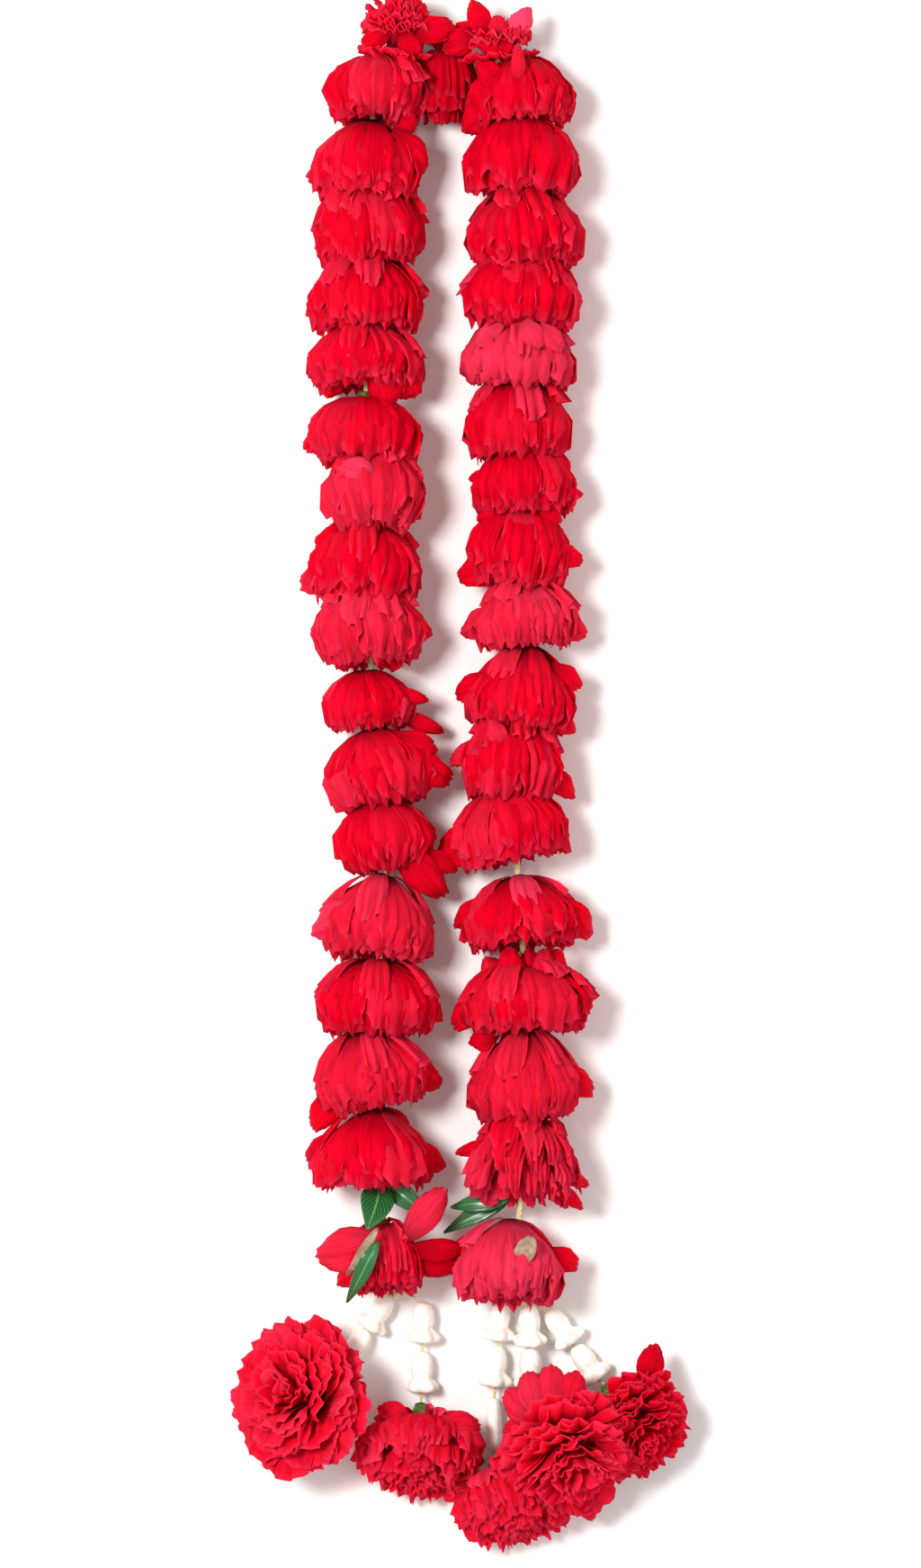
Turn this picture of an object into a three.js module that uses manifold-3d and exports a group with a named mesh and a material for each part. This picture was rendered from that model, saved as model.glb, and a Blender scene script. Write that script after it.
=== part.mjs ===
// A fresh flower lei, laid flat on a table: a cotton cord doubled into a long narrow loop, eighteen red
// carnation blooms threaded on each side of it, leaves tucked in above the last pair, and a tassel of five
// threads with white crown flowers that each end in a full carnation.
// Millimetres. +Z is up from the table, the closed end of the loop points to +Y and the tassel to -Y.
// The origin is on the table, under the middle of the lei.

import * as THREE from 'three';
import Module from 'manifold-3d';

const wasm = await Module();
wasm.setup();

// ---- Driving dimensions ---------------------------------------------------------------------------------

const CORD_RADIUS = 1.5;
const THREAD_RADIUS = 0.8;
const BORE_CLEARANCE = 0.4;
const PETAL_THICKNESS = 0.8;
const LEAF_THICKNESS = 0.8;

// A bloom's soft rim flattens under it, so its middle lies this share of its radius above the table.
const RESTING_SHARE = 0.86;
// The longest way from a bloom's calyx to the floor of the hollow in its face.
const LONGEST_REACH = 36;
// How far a calyx stays from the bend of the cord at its tip, and from the bloom above it.
const BEND_ROOM = 0.7;

// The petals round the outer rows of a bloom, and round its calyx and its innermost row.
const PETALS_ROUND = 10;
const CALYX_SIDES = 5;
// How unevenly petals grow: a share of their radius, a way along the bloom, and a share of their spacing.
const SCATTER = { radius: 0.08, along: 2.4, turn: 0.22 };
// The inner edge of a petal's rim lies this much lower than the outer one, and the backs scatter less.
const RIM_DROP = 0.2;
const BACK_LOOSENESS = 0.4;
// One strand bloom in four or so has pinker petals.
const PALE_SHARE = 0.25;

// A threaded bloom's calyx, where the cord enters it and at its widest, and the hollow in the bloom's face.
const CALYX_TIP_RADIUS = 3.9;
const CALYX_RADIUS = 5.7;
const HOLLOW_RADIUS = 7.4;
// A full bloom's calyx at its tip, middle and end, and the depth of the socket for its thread.
const FULL_CALYX = { tip: 2.8, middle: 5.8, end: 5.6 };
const SOCKET_DEPTH = 4;
// The half-open bloom's calyx at its tip, which is bevelled this deep, and at its widest.
const SLIM_CALYX = { tip: 2.6, bevel: 0.4, widest: 4.8 };

// Outlines of the blooms, from the calyx over the petals' backs and row by row into the face. Each place is a
// share of the bloom's radius and then a share of its length: the reach of a threaded bloom, the radius of a
// full one counted from the end of its calyx, and the whole length of a half-open one. A row of petals has
// places for its tips and for the notches between them.
const THREADED_OUTLINE = {
  calyxWidest: 0.22,
  backs: [[0.47, 0.37], [0.81, 0.6]],
  shoulder: { tip: [0.98, 0.82], notch: [0.94, 0.79] },
  outerRow: { tip: [1, 1.07], notch: [0.94, 0.94] },
  outerValley: [0.66, 0.79],
  middleRow: { tip: [0.84, 1.2], notch: [0.75, 1.09] },
  middleValley: [0.46, 0.95],
  innerRow: { tip: [0.6, 1.3], notch: [0.53, 1.22] },
};
const FULL_OUTLINE = {
  calyxMiddle: 0.55,
  back: [0.55, 0.2],
  shoulder: { tip: [0.9, 0.4], notch: [0.85, 0.36] },
  outerRow: { tip: [1, 0.58], notch: [0.92, 0.48] },
  outerValley: [0.7, 0.46],
  middleRow: { tip: [0.83, 0.8], notch: [0.73, 0.7] },
  middleValley: [0.46, 0.62],
  innerRow: { tip: [0.58, 0.96], notch: [0.5, 0.86] },
  innerValley: [0.24, 0.74],
  heartRow: { tip: [0.31, 1.04], notch: [0.26, 0.94] },
  centre: [0, 0.82],
};
const HALF_OPEN_OUTLINE = {
  calyxWidest: 0.22,
  back: [0.7, 0.5],
  outerRow: { tip: [1, 0.84], notch: [0.86, 0.72] },
  valley: [0.5, 0.6],
  innerRow: { tip: [0.62, 1], notch: [0.5, 0.9] },
  centre: [0, 0.78],
};

// Each strand from the top down: where the cord enters a bloom, and the width of that bloom's rim.
const LEFT_STRAND = [
  [-38.6, 340.0, 54],
  [-40.3, 317.9, 57],
  [-43.3, 283.1, 57],
  [-42.4, 250.7, 59],
  [-44.1, 219.2, 60],
  [-43.7, 187.7, 59],
  [-44.1, 155.4, 57],
  [-42.2, 124.0, 60],
  [-44.2, 93.6, 60],
  [-42.4, 63.4, 56],
  [-40.7, 30.2, 58],
  [-37.0, -3.8, 57],
  [-33.2, -39.1, 62],
  [-37.4, -74.3, 64],
  [-38.2, -109.6, 65],
  [-38.2, -144.9, 65],
  [-37.4, -191.9, 58],
];
const LEFT_END = [-34.4, -226.4];
const RIGHT_STRAND = [
  [27.3, 340.0, 55],
  [28.6, 317.9, 58],
  [27.7, 283.1, 60],
  [29.8, 250.7, 60],
  [28.1, 220.9, 58],
  [27.3, 191.1, 55],
  [27.7, 160.4, 56],
  [29.8, 129.8, 60],
  [27.3, 99.5, 59],
  [29.8, 67.6, 60],
  [26.9, 34.4, 58],
  [24.8, 0.8, 57],
  [25.6, -34.0, 65],
  [29.0, -71.8, 66],
  [29.8, -108.4, 64],
  [31.1, -144.9, 65],
  [28.1, -196.1, 58],
];
const RIGHT_END = [25.2, -230.6];

// The cord's way over the top, from the left strand to the right one, inside the two topmost blooms.
const TOP_BEND = [
  [-38.2, 344.4, 23.2],
  [-35.0, 347.4, 22.6],
  [-30.6, 347.8, 21.4],
  [-22.0, 344.8, 19.4],
  [-6.5, 341.6, 17.4],
  [10.0, 344.8, 19.4],
  [19.0, 347.8, 21.4],
  [23.6, 347.4, 22.6],
  [27.0, 344.4, 23.2],
];
// The two topmost blooms face out over the closed end. They have next to no calyx, and their outer petals
// curl back by this much.
const TOP_CALYX = 0.5;
const TOP_CURL = 6;
const TOP_BLOOMS = {
  left_bloom_01: { base: [-32.0, 342.0, 23.6], towards: [0.16, 1, 0.05], radius: 19.5 },
  right_bloom_01: { base: [20.4, 342.0, 23.6], towards: [-0.1, 1, 0.05], radius: 19.5 },
};
// The half-open bloom that hangs in the throat between the strands, tied to the top bend.
const THROAT_BLOOM = { tip: [-6.5, 339.8, 16.8], towards: [0.01, -1, -0.18], radius: 11, length: 38 };

// Crown flowers, and the knots that tie the tassel threads to the two ends of the cord.
const CROWN_LENGTH = 19.5;
const CROWN_RADIUS = 7.6;
// A crown flower's outline, as shares of its radius and its length. Its lobes have tips and notches.
const CROWN_OUTLINE = {
  top: 0.36,
  shoulder: [0.68, 0.17],
  waist: [0.8, 0.55],
  flare: { tip: 1, notch: 0.78, at: 0.82 },
  lip: { tip: 0.9, notch: 0.6, at: 1 },
  hollow: 0.96,
};
const LEFT_KNOT = [-31.2, -240.6, 12.5];
const RIGHT_KNOT = [27.4, -243.8, 14.5];
const KNOT_RADIUS = 2.6;

// The tassel: the points of each thread, and where along it each crown flower starts, from its first point.
const TASSEL = {
  a: { knot: LEFT_KNOT, points: [[-32.8, -242.6, 7.6], [-54.7, -277.2, 7.6]], crowns: [1.2, 20.8] },
  b: { knot: LEFT_KNOT, points: [[-17.4, -245.4, 7.6], [-18.5, -291.4, 7.6]], crowns: [1.6, 24.8] },
  c: {
    knot: RIGHT_KNOT,
    points: [[18.9, -244.6, 7.6], [15.6, -291.0, 7.6], [15.6, -318.5, 7.6]],
    crowns: [1.4, 23],
  },
  d: { knot: RIGHT_KNOT, points: [[31.9, -246.6, 14.6], [33.0, -289.2, 11.3]], crowns: [1.4, 21.6] },
  e: { knot: RIGHT_KNOT, points: [[40.4, -249.8, 7.6], [65.5, -284.2, 7.6]], crowns: [1.4, 22.4] },
};
// The closed crown bud low on thread c: where it starts, its length, its radius and its outline in shares.
const SLIM_BUD = { from: 47.8, length: 25, radius: 4 };
const BUD_OUTLINE = [[0.5, 0], [0.86, 0.2], [1, 0.8], [0.6, 1]];

// Past its last crown flower a thread bends over this length towards its bloom, and then runs into the calyx.
const THREAD_NECK = 4;
const THREAD_IN_SOCKET = 3.4;

// The carnation at the end of each thread: the way it points, its radius and its calyx's length.
const TASSEL_BLOOMS = {
  a: { towards: [-0.84, -0.54, 0.8], radius: 36, calyx: 12 },
  b: { towards: [-0.06, -1, 0.72], radius: 28.5, calyx: 10 },
  c: { towards: [-0.04, -1, 0.7], radius: 28.5, calyx: 12 },
  d: { towards: [0.5, -0.8, 0.95], radius: 29.5, calyx: 11 },
  e: { towards: [1, -0.28, 0.8], radius: 28.5, calyx: 10 },
};

// Leaves: where each starts beside the cord, its bend and tip, its width and how deep it is folded.
const LEAVES = {
  leaf_left_upper: {
    path: [[-37.6, -190.2, 30.2], [-38.0, -198.0, 43.0], [-43.5, -210.0, 49.5]],
    width: 15,
    fold: 0.25,
  },
  leaf_left_inner: {
    path: [[-35.0, -189.8, 29.2], [-27.0, -193.5, 38.0], [-15.0, -205.0, 34.0]],
    width: 10,
    fold: 0.3,
  },
  leaf_right_upper: {
    path: [[25.7, -194.2, 28.6], [10.0, -198.0, 35.0], [-5.0, -201.5, 24.0]],
    width: 9,
    fold: 0.3,
  },
  leaf_right_lower: {
    path: [[25.7, -194.2, 25.4], [10.0, -202.0, 25.0], [-8.5, -214.0, 20.0]],
    width: 9,
    fold: 0.3,
  },
};

// A leaf's cross-sections lie at these shares of its length. Its widest place is nearer its base than its
// tip, and its outline keeps a narrow edge all round.
const LEAF_STATIONS = [0.04, 0.2, 0.42, 0.66, 0.86, 0.97];
const LEAF_FULLNESS = 0.8;
const LEAF_EDGE = 0.6;

const CORD_SIDES = 5;
const CORD_WAY_SIDES = 6;
const KNOT_SIDES = 6;
const KNOT_RINGS = [0.2, 0.5, 0.8];

// Each group of blooms draws its random numbers from a seed of its own.
const SEEDS = { leftTop: 11, rightTop: 12, throat: 13, left: 100, right: 200, crowns: 300, tassel: 400 };

const COLOURS = {
  petals: { color: 0xd9062a, roughness: 0.6 },
  pale_petals: { color: 0xe0254a, roughness: 0.6 },
  crown: { color: 0xf4f0e2, roughness: 0.45 },
  leaf: { color: 0x1f7a3c, roughness: 0.35 },
  cord: { color: 0xe6d59a, roughness: 0.85 },
};

// ---- Helpers --------------------------------------------------------------------------------------------

/** A repeatable stream of random numbers from 0 to 1. */
function randomStream(seed) {
  let state = seed;
  return () => {
    state = (state + 0x6d2b79f5) | 0;
    let t = Math.imul(state ^ (state >>> 15), 1 | state);
    t = (t + Math.imul(t ^ (t >>> 7), 61 | t)) ^ t;
    return ((t ^ (t >>> 14)) >>> 0) / 4294967296;
  };
}

/** A closed surface made of rings of points, each ring joined to the next. */
class Skin {
  points = [];
  faces = [];
  floors = [];

  /** Adds a ring. Its points stay at least `floor` above the table when the piece is pressed onto it. */
  ring(points, floor = 0) {
    const first = this.points.length;
    this.points.push(...points);
    this.floors.push(...points.map(() => floor));
    return { first, count: points.length };
  }

  /** Joins two rings whose point counts are equal or a whole multiple of each other. */
  join(a, b) {
    const steps = Math.max(a.count, b.count);
    const at = (ring, i) => ring.first + (Math.floor((i * ring.count) / steps) % ring.count);
    for (let i = 0; i < steps; i += 1) {
      const [a0, a1, b0, b1] = [at(a, i), at(a, i + 1), at(b, i), at(b, i + 1)];
      if (a0 !== a1) this.faces.push(a0, a1, b1);
      if (b0 !== b1) this.faces.push(a0, b1, b0);
    }
  }

  /** Joins a list of rings in order, and the last to the first where the surface is a closed loop. */
  joinAll(rings, loop = false) {
    for (let i = 1; i < rings.length; i += 1) this.join(rings[i - 1], rings[i]);
    if (loop) this.join(rings.at(-1), rings[0]);
  }

  geometry() {
    const geometry = new THREE.BufferGeometry();
    geometry.setAttribute('position', new THREE.Float32BufferAttribute(this.points.flat(), 3));
    geometry.setIndex(this.faces);
    geometry.computeVertexNormals();
    geometry.userData.floors = this.floors;
    return geometry;
  }
}

/** A plain round ring of `count` points at radius r and distance s along the flower's own axis, +Z. */
function roundRing(count, r, s) {
  return Array.from({ length: count }, (_, i) => {
    const angle = (i / count) * 2 * Math.PI;
    return [r * Math.cos(angle), r * Math.sin(angle), s];
  });
}

/** A row of petals: two rings, the outer and inner edge of the row's rim, with a notch between petals. */
function petalRow(random, { count, tip, notch, odd = false, loose = 1 }) {
  const outer = [];
  const inner = [];
  for (let i = 0; i < count; i += 1) {
    const isTip = (i % 2 === 1) === odd;
    const [r0, s0] = isTip ? tip : notch;
    const r = r0 * (1 - SCATTER.radius * loose * random());
    const s = s0 + SCATTER.along * loose * (random() - 0.5);
    const angle = ((i + SCATTER.turn * loose * (random() - 0.5)) / count) * 2 * Math.PI;
    const [x, y] = [Math.cos(angle), Math.sin(angle)];
    outer.push([r * x, r * y, s]);
    inner.push([(r - PETAL_THICKNESS) * x, (r - PETAL_THICKNESS) * y, s - RIM_DROP]);
  }
  return { outer, inner };
}

/** Places a mesh so that its own +Z points along `direction`, turned by `roll` about it. */
function aim(mesh, position, direction, roll = 0) {
  mesh.position.copy(position);
  mesh.quaternion.setFromUnitVectors(new THREE.Vector3(0, 0, 1), direction.clone().normalize());
  mesh.rotateZ(roll);
  return mesh;
}

/** Presses a placed mesh onto the table: what would reach below it lies flat, one petal on the other. */
function press(mesh) {
  mesh.updateMatrixWorld(true);
  const { position } = mesh.geometry.attributes;
  const { floors } = mesh.geometry.userData;
  const point = new THREE.Vector3();
  for (let i = 0; i < position.count; i += 1) {
    mesh.localToWorld(point.fromBufferAttribute(position, i));
    if (point.z >= floors[i]) continue;
    point.z = floors[i];
    mesh.worldToLocal(point);
    position.setXYZ(i, point.x, point.y, point.z);
  }
  return mesh;
}

function vec(point) {
  return new THREE.Vector3(...point);
}

/** A tube of few sides along a chain of points, with a flat end on each side. */
function tube(points, radius, sides) {
  const skin = new Skin();
  const up = new THREE.Vector3(0, 0, 1);
  const rings = points.map((point, i) => {
    const before = points[Math.max(i - 1, 0)];
    const after = points[Math.min(i + 1, points.length - 1)];
    const along = new THREE.Vector3()
      .add(after.clone().sub(point).normalize())
      .add(point.clone().sub(before).normalize())
      .normalize();
    const side = up.clone().cross(along).normalize();
    const rise = along.clone().cross(side);
    return skin.ring(
      Array.from({ length: sides }, (_, k) => {
        const angle = (k / sides) * 2 * Math.PI;
        return point
          .clone()
          .addScaledVector(side, radius * Math.cos(angle))
          .addScaledVector(rise, radius * Math.sin(angle))
          .toArray();
      }),
    );
  });
  const start = skin.ring([points[0].toArray()]);
  const end = skin.ring([points.at(-1).toArray()]);
  skin.joinAll([start, ...rings, end]);
  return skin.geometry();
}

/** The manifold solid of an indexed geometry. */
function toSolid(geometry) {
  return new wasm.Manifold(
    new wasm.Mesh({
      numProp: 3,
      vertProperties: new Float32Array(geometry.attributes.position.array),
      triVerts: new Uint32Array(geometry.index.array),
    }),
  );
}

/** The geometry of a manifold solid. */
function toGeometry(solid) {
  const mesh = solid.getMesh();
  const geometry = new THREE.BufferGeometry();
  geometry.setAttribute('position', new THREE.Float32BufferAttribute(mesh.vertProperties, 3));
  geometry.setIndex(Array.from(mesh.triVerts));
  geometry.computeVertexNormals();
  return geometry;
}

function material(name) {
  return new THREE.MeshStandardMaterial({ ...COLOURS[name], metalness: 0 });
}

function named(name, geometry, colour) {
  const mesh = new THREE.Mesh(geometry, material(colour));
  mesh.name = name;
  return mesh;
}

// ---- Carnations -----------------------------------------------------------------------------------------

/** The radius of the corners of a five-sided bore that a cord or thread of radius r runs through freely. */
function boreRadius(r) {
  return (r + BORE_CLEARANCE) / Math.cos(Math.PI / CALYX_SIDES);
}

/** A skin whose rings lie at places given as shares of a bloom's radius, and of its length past `start`. */
class BloomSkin extends Skin {
  constructor(random, radius, length, start = 0) {
    super();
    Object.assign(this, { random, radius, length, start });
  }

  place([r, s], drop = 0) {
    return [r * this.radius, this.start + s * this.length - drop];
  }

  /** A round ring at an outline's place. */
  plain(count, place) {
    return this.ring(roundRing(count, ...this.place(place)));
  }

  /** A round ring of a given size in millimetres. */
  sized(count, r, s) {
    return this.ring(roundRing(count, r, s));
  }

  /** The scattered points of a row of petals, `drop` lower than the outline says. */
  petals(count, { tip, notch }, { drop = 0, ...options } = {}) {
    const places = { tip: this.place(tip, drop), notch: this.place(notch, drop) };
    return petalRow(this.random, { count, ...places, ...options });
  }

  /** A row of petals with both edges of its rim. */
  row(count, outline, options) {
    const { outer, inner } = this.petals(count, outline, options);
    return [this.ring(outer), this.ring(inner, PETAL_THICKNESS)];
  }
}

/**
 * A bloom threaded on the cord: a short calyx, three rows of petals that arch out and down from it like a
 * skirt, and a hollow in its face that takes the calyx of the bloom below. The cord's bore runs right through.
 */
function threadedBloom(radius, reach, random) {
  const skin = new BloomSkin(random, radius, reach);
  const outline = THREADED_OUTLINE;
  const bore = boreRadius(CORD_RADIUS);
  const shoulder = skin.petals(2 * PETALS_ROUND, outline.shoulder, { loose: BACK_LOOSENESS });
  const innerRow = skin.petals(PETALS_ROUND, outline.innerRow);
  skin.joinAll(
    [
      skin.sized(CALYX_SIDES, bore, 0),
      skin.sized(CALYX_SIDES, CALYX_TIP_RADIUS, 0),
      skin.sized(CALYX_SIDES, CALYX_RADIUS, outline.calyxWidest * reach),
      ...outline.backs.map((place) => skin.plain(PETALS_ROUND, place)),
      skin.ring(shoulder.outer),
      ...skin.row(2 * PETALS_ROUND, outline.outerRow),
      skin.plain(PETALS_ROUND, outline.outerValley),
      ...skin.row(2 * PETALS_ROUND, outline.middleRow, { odd: true }),
      skin.plain(PETALS_ROUND, outline.middleValley),
      skin.ring(innerRow.outer),
      skin.sized(CALYX_SIDES, HOLLOW_RADIUS, reach - BEND_ROOM),
      skin.sized(CALYX_SIDES, bore, reach - BEND_ROOM),
    ],
    true,
  );
  return skin.geometry();
}

/**
 * A full bloom, as at the end of a tassel thread: a blind socket for the thread in the calyx, then four rows
 * of petals that close over a domed face.
 */
function fullBloom(radius, calyx, random, { curl = 0 } = {}) {
  const skin = new BloomSkin(random, radius, radius, calyx);
  const outline = FULL_OUTLINE;
  const bore = boreRadius(THREAD_RADIUS);
  const shoulder = skin.petals(2 * PETALS_ROUND, outline.shoulder, { drop: 0.5 * curl, loose: BACK_LOOSENESS });
  skin.joinAll([
    skin.sized(1, 0, SOCKET_DEPTH),
    skin.sized(CALYX_SIDES, bore, SOCKET_DEPTH),
    skin.sized(CALYX_SIDES, bore, 0),
    skin.sized(CALYX_SIDES, FULL_CALYX.tip, 0),
    skin.sized(PETALS_ROUND, FULL_CALYX.middle, outline.calyxMiddle * calyx),
    skin.sized(PETALS_ROUND, FULL_CALYX.end, calyx),
    skin.plain(PETALS_ROUND, outline.back),
    skin.ring(shoulder.outer),
    ...skin.row(2 * PETALS_ROUND, outline.outerRow, { drop: curl }),
    skin.plain(PETALS_ROUND, outline.outerValley),
    ...skin.row(2 * PETALS_ROUND, outline.middleRow, { odd: true }),
    skin.plain(PETALS_ROUND, outline.middleValley),
    ...skin.row(PETALS_ROUND, outline.innerRow),
    skin.plain(CALYX_SIDES, outline.innerValley),
    ...skin.row(PETALS_ROUND, outline.heartRow, { odd: true }),
    skin.plain(1, outline.centre),
  ]);
  return skin.geometry();
}

/** A half-open bloom: petals still upright round its middle, in two rows. */
function halfOpenBloom(radius, length, random) {
  const skin = new BloomSkin(random, radius, length);
  const outline = HALF_OPEN_OUTLINE;
  skin.joinAll([
    skin.sized(1, 0, 0),
    skin.sized(CALYX_SIDES, SLIM_CALYX.tip, SLIM_CALYX.bevel),
    skin.sized(PETALS_ROUND, SLIM_CALYX.widest, outline.calyxWidest * length),
    skin.plain(PETALS_ROUND, outline.back),
    ...skin.row(2 * PETALS_ROUND, outline.outerRow),
    skin.plain(PETALS_ROUND, outline.valley),
    ...skin.row(PETALS_ROUND, outline.innerRow, { odd: true }),
    skin.plain(1, outline.centre),
  ]);
  return skin.geometry();
}

// ---- Crown flowers, leaves and the cord -----------------------------------------------------------------

/** A crown flower on its thread: a smooth bullet that flares into five rounded lobes at its lower end. */
function crownFlower(length, radius) {
  const skin = new BloomSkin(null, radius, length);
  const { top, shoulder, waist, flare, lip, hollow } = CROWN_OUTLINE;
  const bore = boreRadius(THREAD_RADIUS);
  const lobes = ({ tip, notch, at }) =>
    skin.ring(roundRing(2 * CALYX_SIDES, 1, at * length).map(([x, y, s], i) => {
      const r = radius * (i % 2 === 0 ? tip : notch);
      return [r * x, r * y, s];
    }));
  skin.joinAll(
    [
      skin.sized(CALYX_SIDES, bore, 0),
      skin.plain(CALYX_SIDES, [top, 0]),
      skin.plain(2 * CALYX_SIDES, shoulder),
      skin.plain(2 * CALYX_SIDES, waist),
      lobes(flare),
      lobes(lip),
      skin.sized(CALYX_SIDES, bore, hollow * length),
    ],
    true,
  );
  return skin.geometry();
}

/** The closed bud: a slim spindle on its thread. */
function slimBud(length, radius) {
  const skin = new BloomSkin(null, radius, length);
  const bore = boreRadius(THREAD_RADIUS);
  skin.joinAll(
    [
      skin.sized(CALYX_SIDES, bore, 0),
      ...BUD_OUTLINE.map((place) => skin.plain(CALYX_SIDES, place)),
      skin.sized(CALYX_SIDES, bore, length),
    ],
    true,
  );
  return skin.geometry();
}

/** A pointed leaf, folded a little along its midrib. */
function leafBlade({ path, width, fold }) {
  const skin = new Skin();
  const curve = new THREE.QuadraticBezierCurve3(...path.map(vec));
  const half = LEAF_THICKNESS / 2;
  const rings = LEAF_STATIONS.map((t) => {
    const centre = curve.getPoint(t);
    const along = curve.getTangent(t);
    const side = new THREE.Vector3(0, 0, 1).cross(along).normalize();
    const up = along.clone().cross(side);
    const w = (width / 2) * Math.sin(Math.PI * t ** LEAF_FULLNESS) + LEAF_EDGE;
    const corner = (across, lift) =>
      centre.clone().addScaledVector(side, across).addScaledVector(up, lift).toArray();
    const edge = fold * w;
    return skin.ring([
      corner(w, edge - half),
      corner(w, edge + half),
      corner(0, half),
      corner(-w, edge + half),
      corner(-w, edge - half),
      corner(0, -half),
    ]);
  });
  const start = skin.ring([curve.getPoint(0).toArray()]);
  const end = skin.ring([curve.getPoint(1).toArray()]);
  skin.joinAll([start, ...rings, end]);
  return skin.geometry();
}

// ---- The strands ----------------------------------------------------------------------------------------

/** The points where the cord enters the blooms of a strand, and the strand's end, each at its height. */
function strandRoute(strand, end) {
  const heights = strand.map(([, , width]) => (RESTING_SHARE * width) / 2);
  const places = [...strand, end];
  return places.map(([x, y], i) => new THREE.Vector3(x, y, heights[Math.max(i - 1, 0)]));
}

/** The threaded blooms of one strand. The topmost bloom of each strand is made apart, so names start at 02. */
function strandBlooms(side, strand, route, seed) {
  return strand.map(([, , width], i) => {
    const random = randomStream(seed + i);
    const radius = width / 2;
    const heading = route[i + 1].clone().sub(route[i]);
    const reach = Math.min(heading.length() - 2 * BEND_ROOM, LONGEST_REACH);
    const name = `${side}_bloom_${String(i + 2).padStart(2, '0')}`;
    const bloom = threadedBloom(radius, reach, random);
    const mesh = named(name, bloom, random() < PALE_SHARE ? 'pale_petals' : 'petals');
    const start = route[i].clone().addScaledVector(heading.clone().normalize(), BEND_ROOM);
    return press(aim(mesh, start, heading, random() * 2 * Math.PI));
  });
}

const leftRoute = strandRoute(LEFT_STRAND, LEFT_END);
const rightRoute = strandRoute(RIGHT_STRAND, RIGHT_END);
const loopRoute = [
  vec(LEFT_KNOT),
  ...leftRoute.toReversed(),
  ...TOP_BEND.map(vec),
  ...rightRoute,
  vec(RIGHT_KNOT),
];

/** One of the two topmost blooms, with the way of the cord cut through it. */
function topBloom(name, { base, towards, radius }, seed) {
  const random = randomStream(seed);
  const bloom = fullBloom(radius, TOP_CALYX, random, { curl: TOP_CURL });
  const mesh = aim(named(name, bloom, 'petals'), vec(base), vec(towards));
  mesh.updateMatrixWorld(true);
  const way = tube(loopRoute, CORD_RADIUS + 2 * BORE_CLEARANCE, CORD_WAY_SIDES);
  way.applyMatrix4(mesh.matrixWorld.clone().invert());
  const parts = toSolid(mesh.geometry).subtract(toSolid(way)).decompose();
  parts.sort((a, b) => b.volume() - a.volume());
  mesh.geometry = toGeometry(parts[0]);
  return mesh;
}

// ---- The tassel -----------------------------------------------------------------------------------------

/** The point at a distance along a chain of points, and the chain's direction there. */
function along(points, distance) {
  let left = distance;
  for (let i = 1; i < points.length; i += 1) {
    const step = points[i].clone().sub(points[i - 1]);
    if (left <= step.length() || i === points.length - 1) {
      const direction = step.normalize();
      return { point: points[i - 1].clone().addScaledVector(direction, left), direction };
    }
    left -= step.length();
  }
  return null;
}

/** The crown flowers of one tassel thread. */
function tasselString(letter, { points, crowns }, seed) {
  const chain = points.map(vec);
  return crowns.map((start, i) => {
    const random = randomStream(seed + i);
    const { point, direction } = along(chain, start);
    const mesh = named(`crown_${letter}${i + 1}`, crownFlower(CROWN_LENGTH, CROWN_RADIUS), 'crown');
    return press(aim(mesh, point, direction, random() * 2 * Math.PI));
  });
}

/** Where the calyx of a thread's bloom starts, and the way the bloom points. */
function bloomPlace(letter) {
  const chain = TASSEL[letter].points.map(vec);
  const heading = chain.at(-1).clone().sub(chain.at(-2)).normalize();
  const towards = vec(TASSEL_BLOOMS[letter].towards).normalize();
  const between = heading.add(towards).normalize();
  return { tip: chain.at(-1).clone().addScaledVector(between, THREAD_NECK), towards };
}

/** The full bloom at the end of a tassel thread. */
function tasselBloom(letter, { radius, calyx }, seed) {
  const random = randomStream(seed);
  const { tip, towards } = bloomPlace(letter);
  const mesh = named(`tassel_bloom_${letter}`, fullBloom(radius, calyx, random), 'petals');
  return press(aim(mesh, tip, towards, random() * 2 * Math.PI));
}

/** A knot in the cord: a small faceted ball. */
function knotBall(centre) {
  const skin = new Skin();
  const rings = KNOT_RINGS.map((share) => {
    const angle = Math.PI * share;
    return skin.ring(roundRing(KNOT_SIDES, KNOT_RADIUS * Math.sin(angle), -KNOT_RADIUS * Math.cos(angle)));
  });
  skin.joinAll([skin.ring([[0, 0, -KNOT_RADIUS]]), ...rings, skin.ring([[0, 0, KNOT_RADIUS]])]);
  return skin.geometry().translate(...centre);
}

/** The whole cord: the loop, a knot at each of its ends, and the tassel threads tied into the knots. */
function cordSolid() {
  const pieces = [tube(loopRoute, CORD_RADIUS, CORD_SIDES), ...[LEFT_KNOT, RIGHT_KNOT].map(knotBall)];
  for (const [letter, { knot, points }] of Object.entries(TASSEL)) {
    const { tip, towards } = bloomPlace(letter);
    const end = tip.clone().addScaledVector(towards, THREAD_IN_SOCKET);
    pieces.push(tube([vec(knot), ...points.map(vec), tip, end], THREAD_RADIUS, CORD_SIDES));
  }
  return pieces.map(toSolid).reduce((whole, piece) => whole.add(piece));
}

// ---- The lei --------------------------------------------------------------------------------------------

const lei = new THREE.Group();
lei.add(named('cord', toGeometry(cordSolid()), 'cord'));
lei.add(topBloom('left_bloom_01', TOP_BLOOMS.left_bloom_01, SEEDS.leftTop));
lei.add(topBloom('right_bloom_01', TOP_BLOOMS.right_bloom_01, SEEDS.rightTop));
lei.add(...strandBlooms('left', LEFT_STRAND, leftRoute, SEEDS.left));
lei.add(...strandBlooms('right', RIGHT_STRAND, rightRoute, SEEDS.right));

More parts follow.
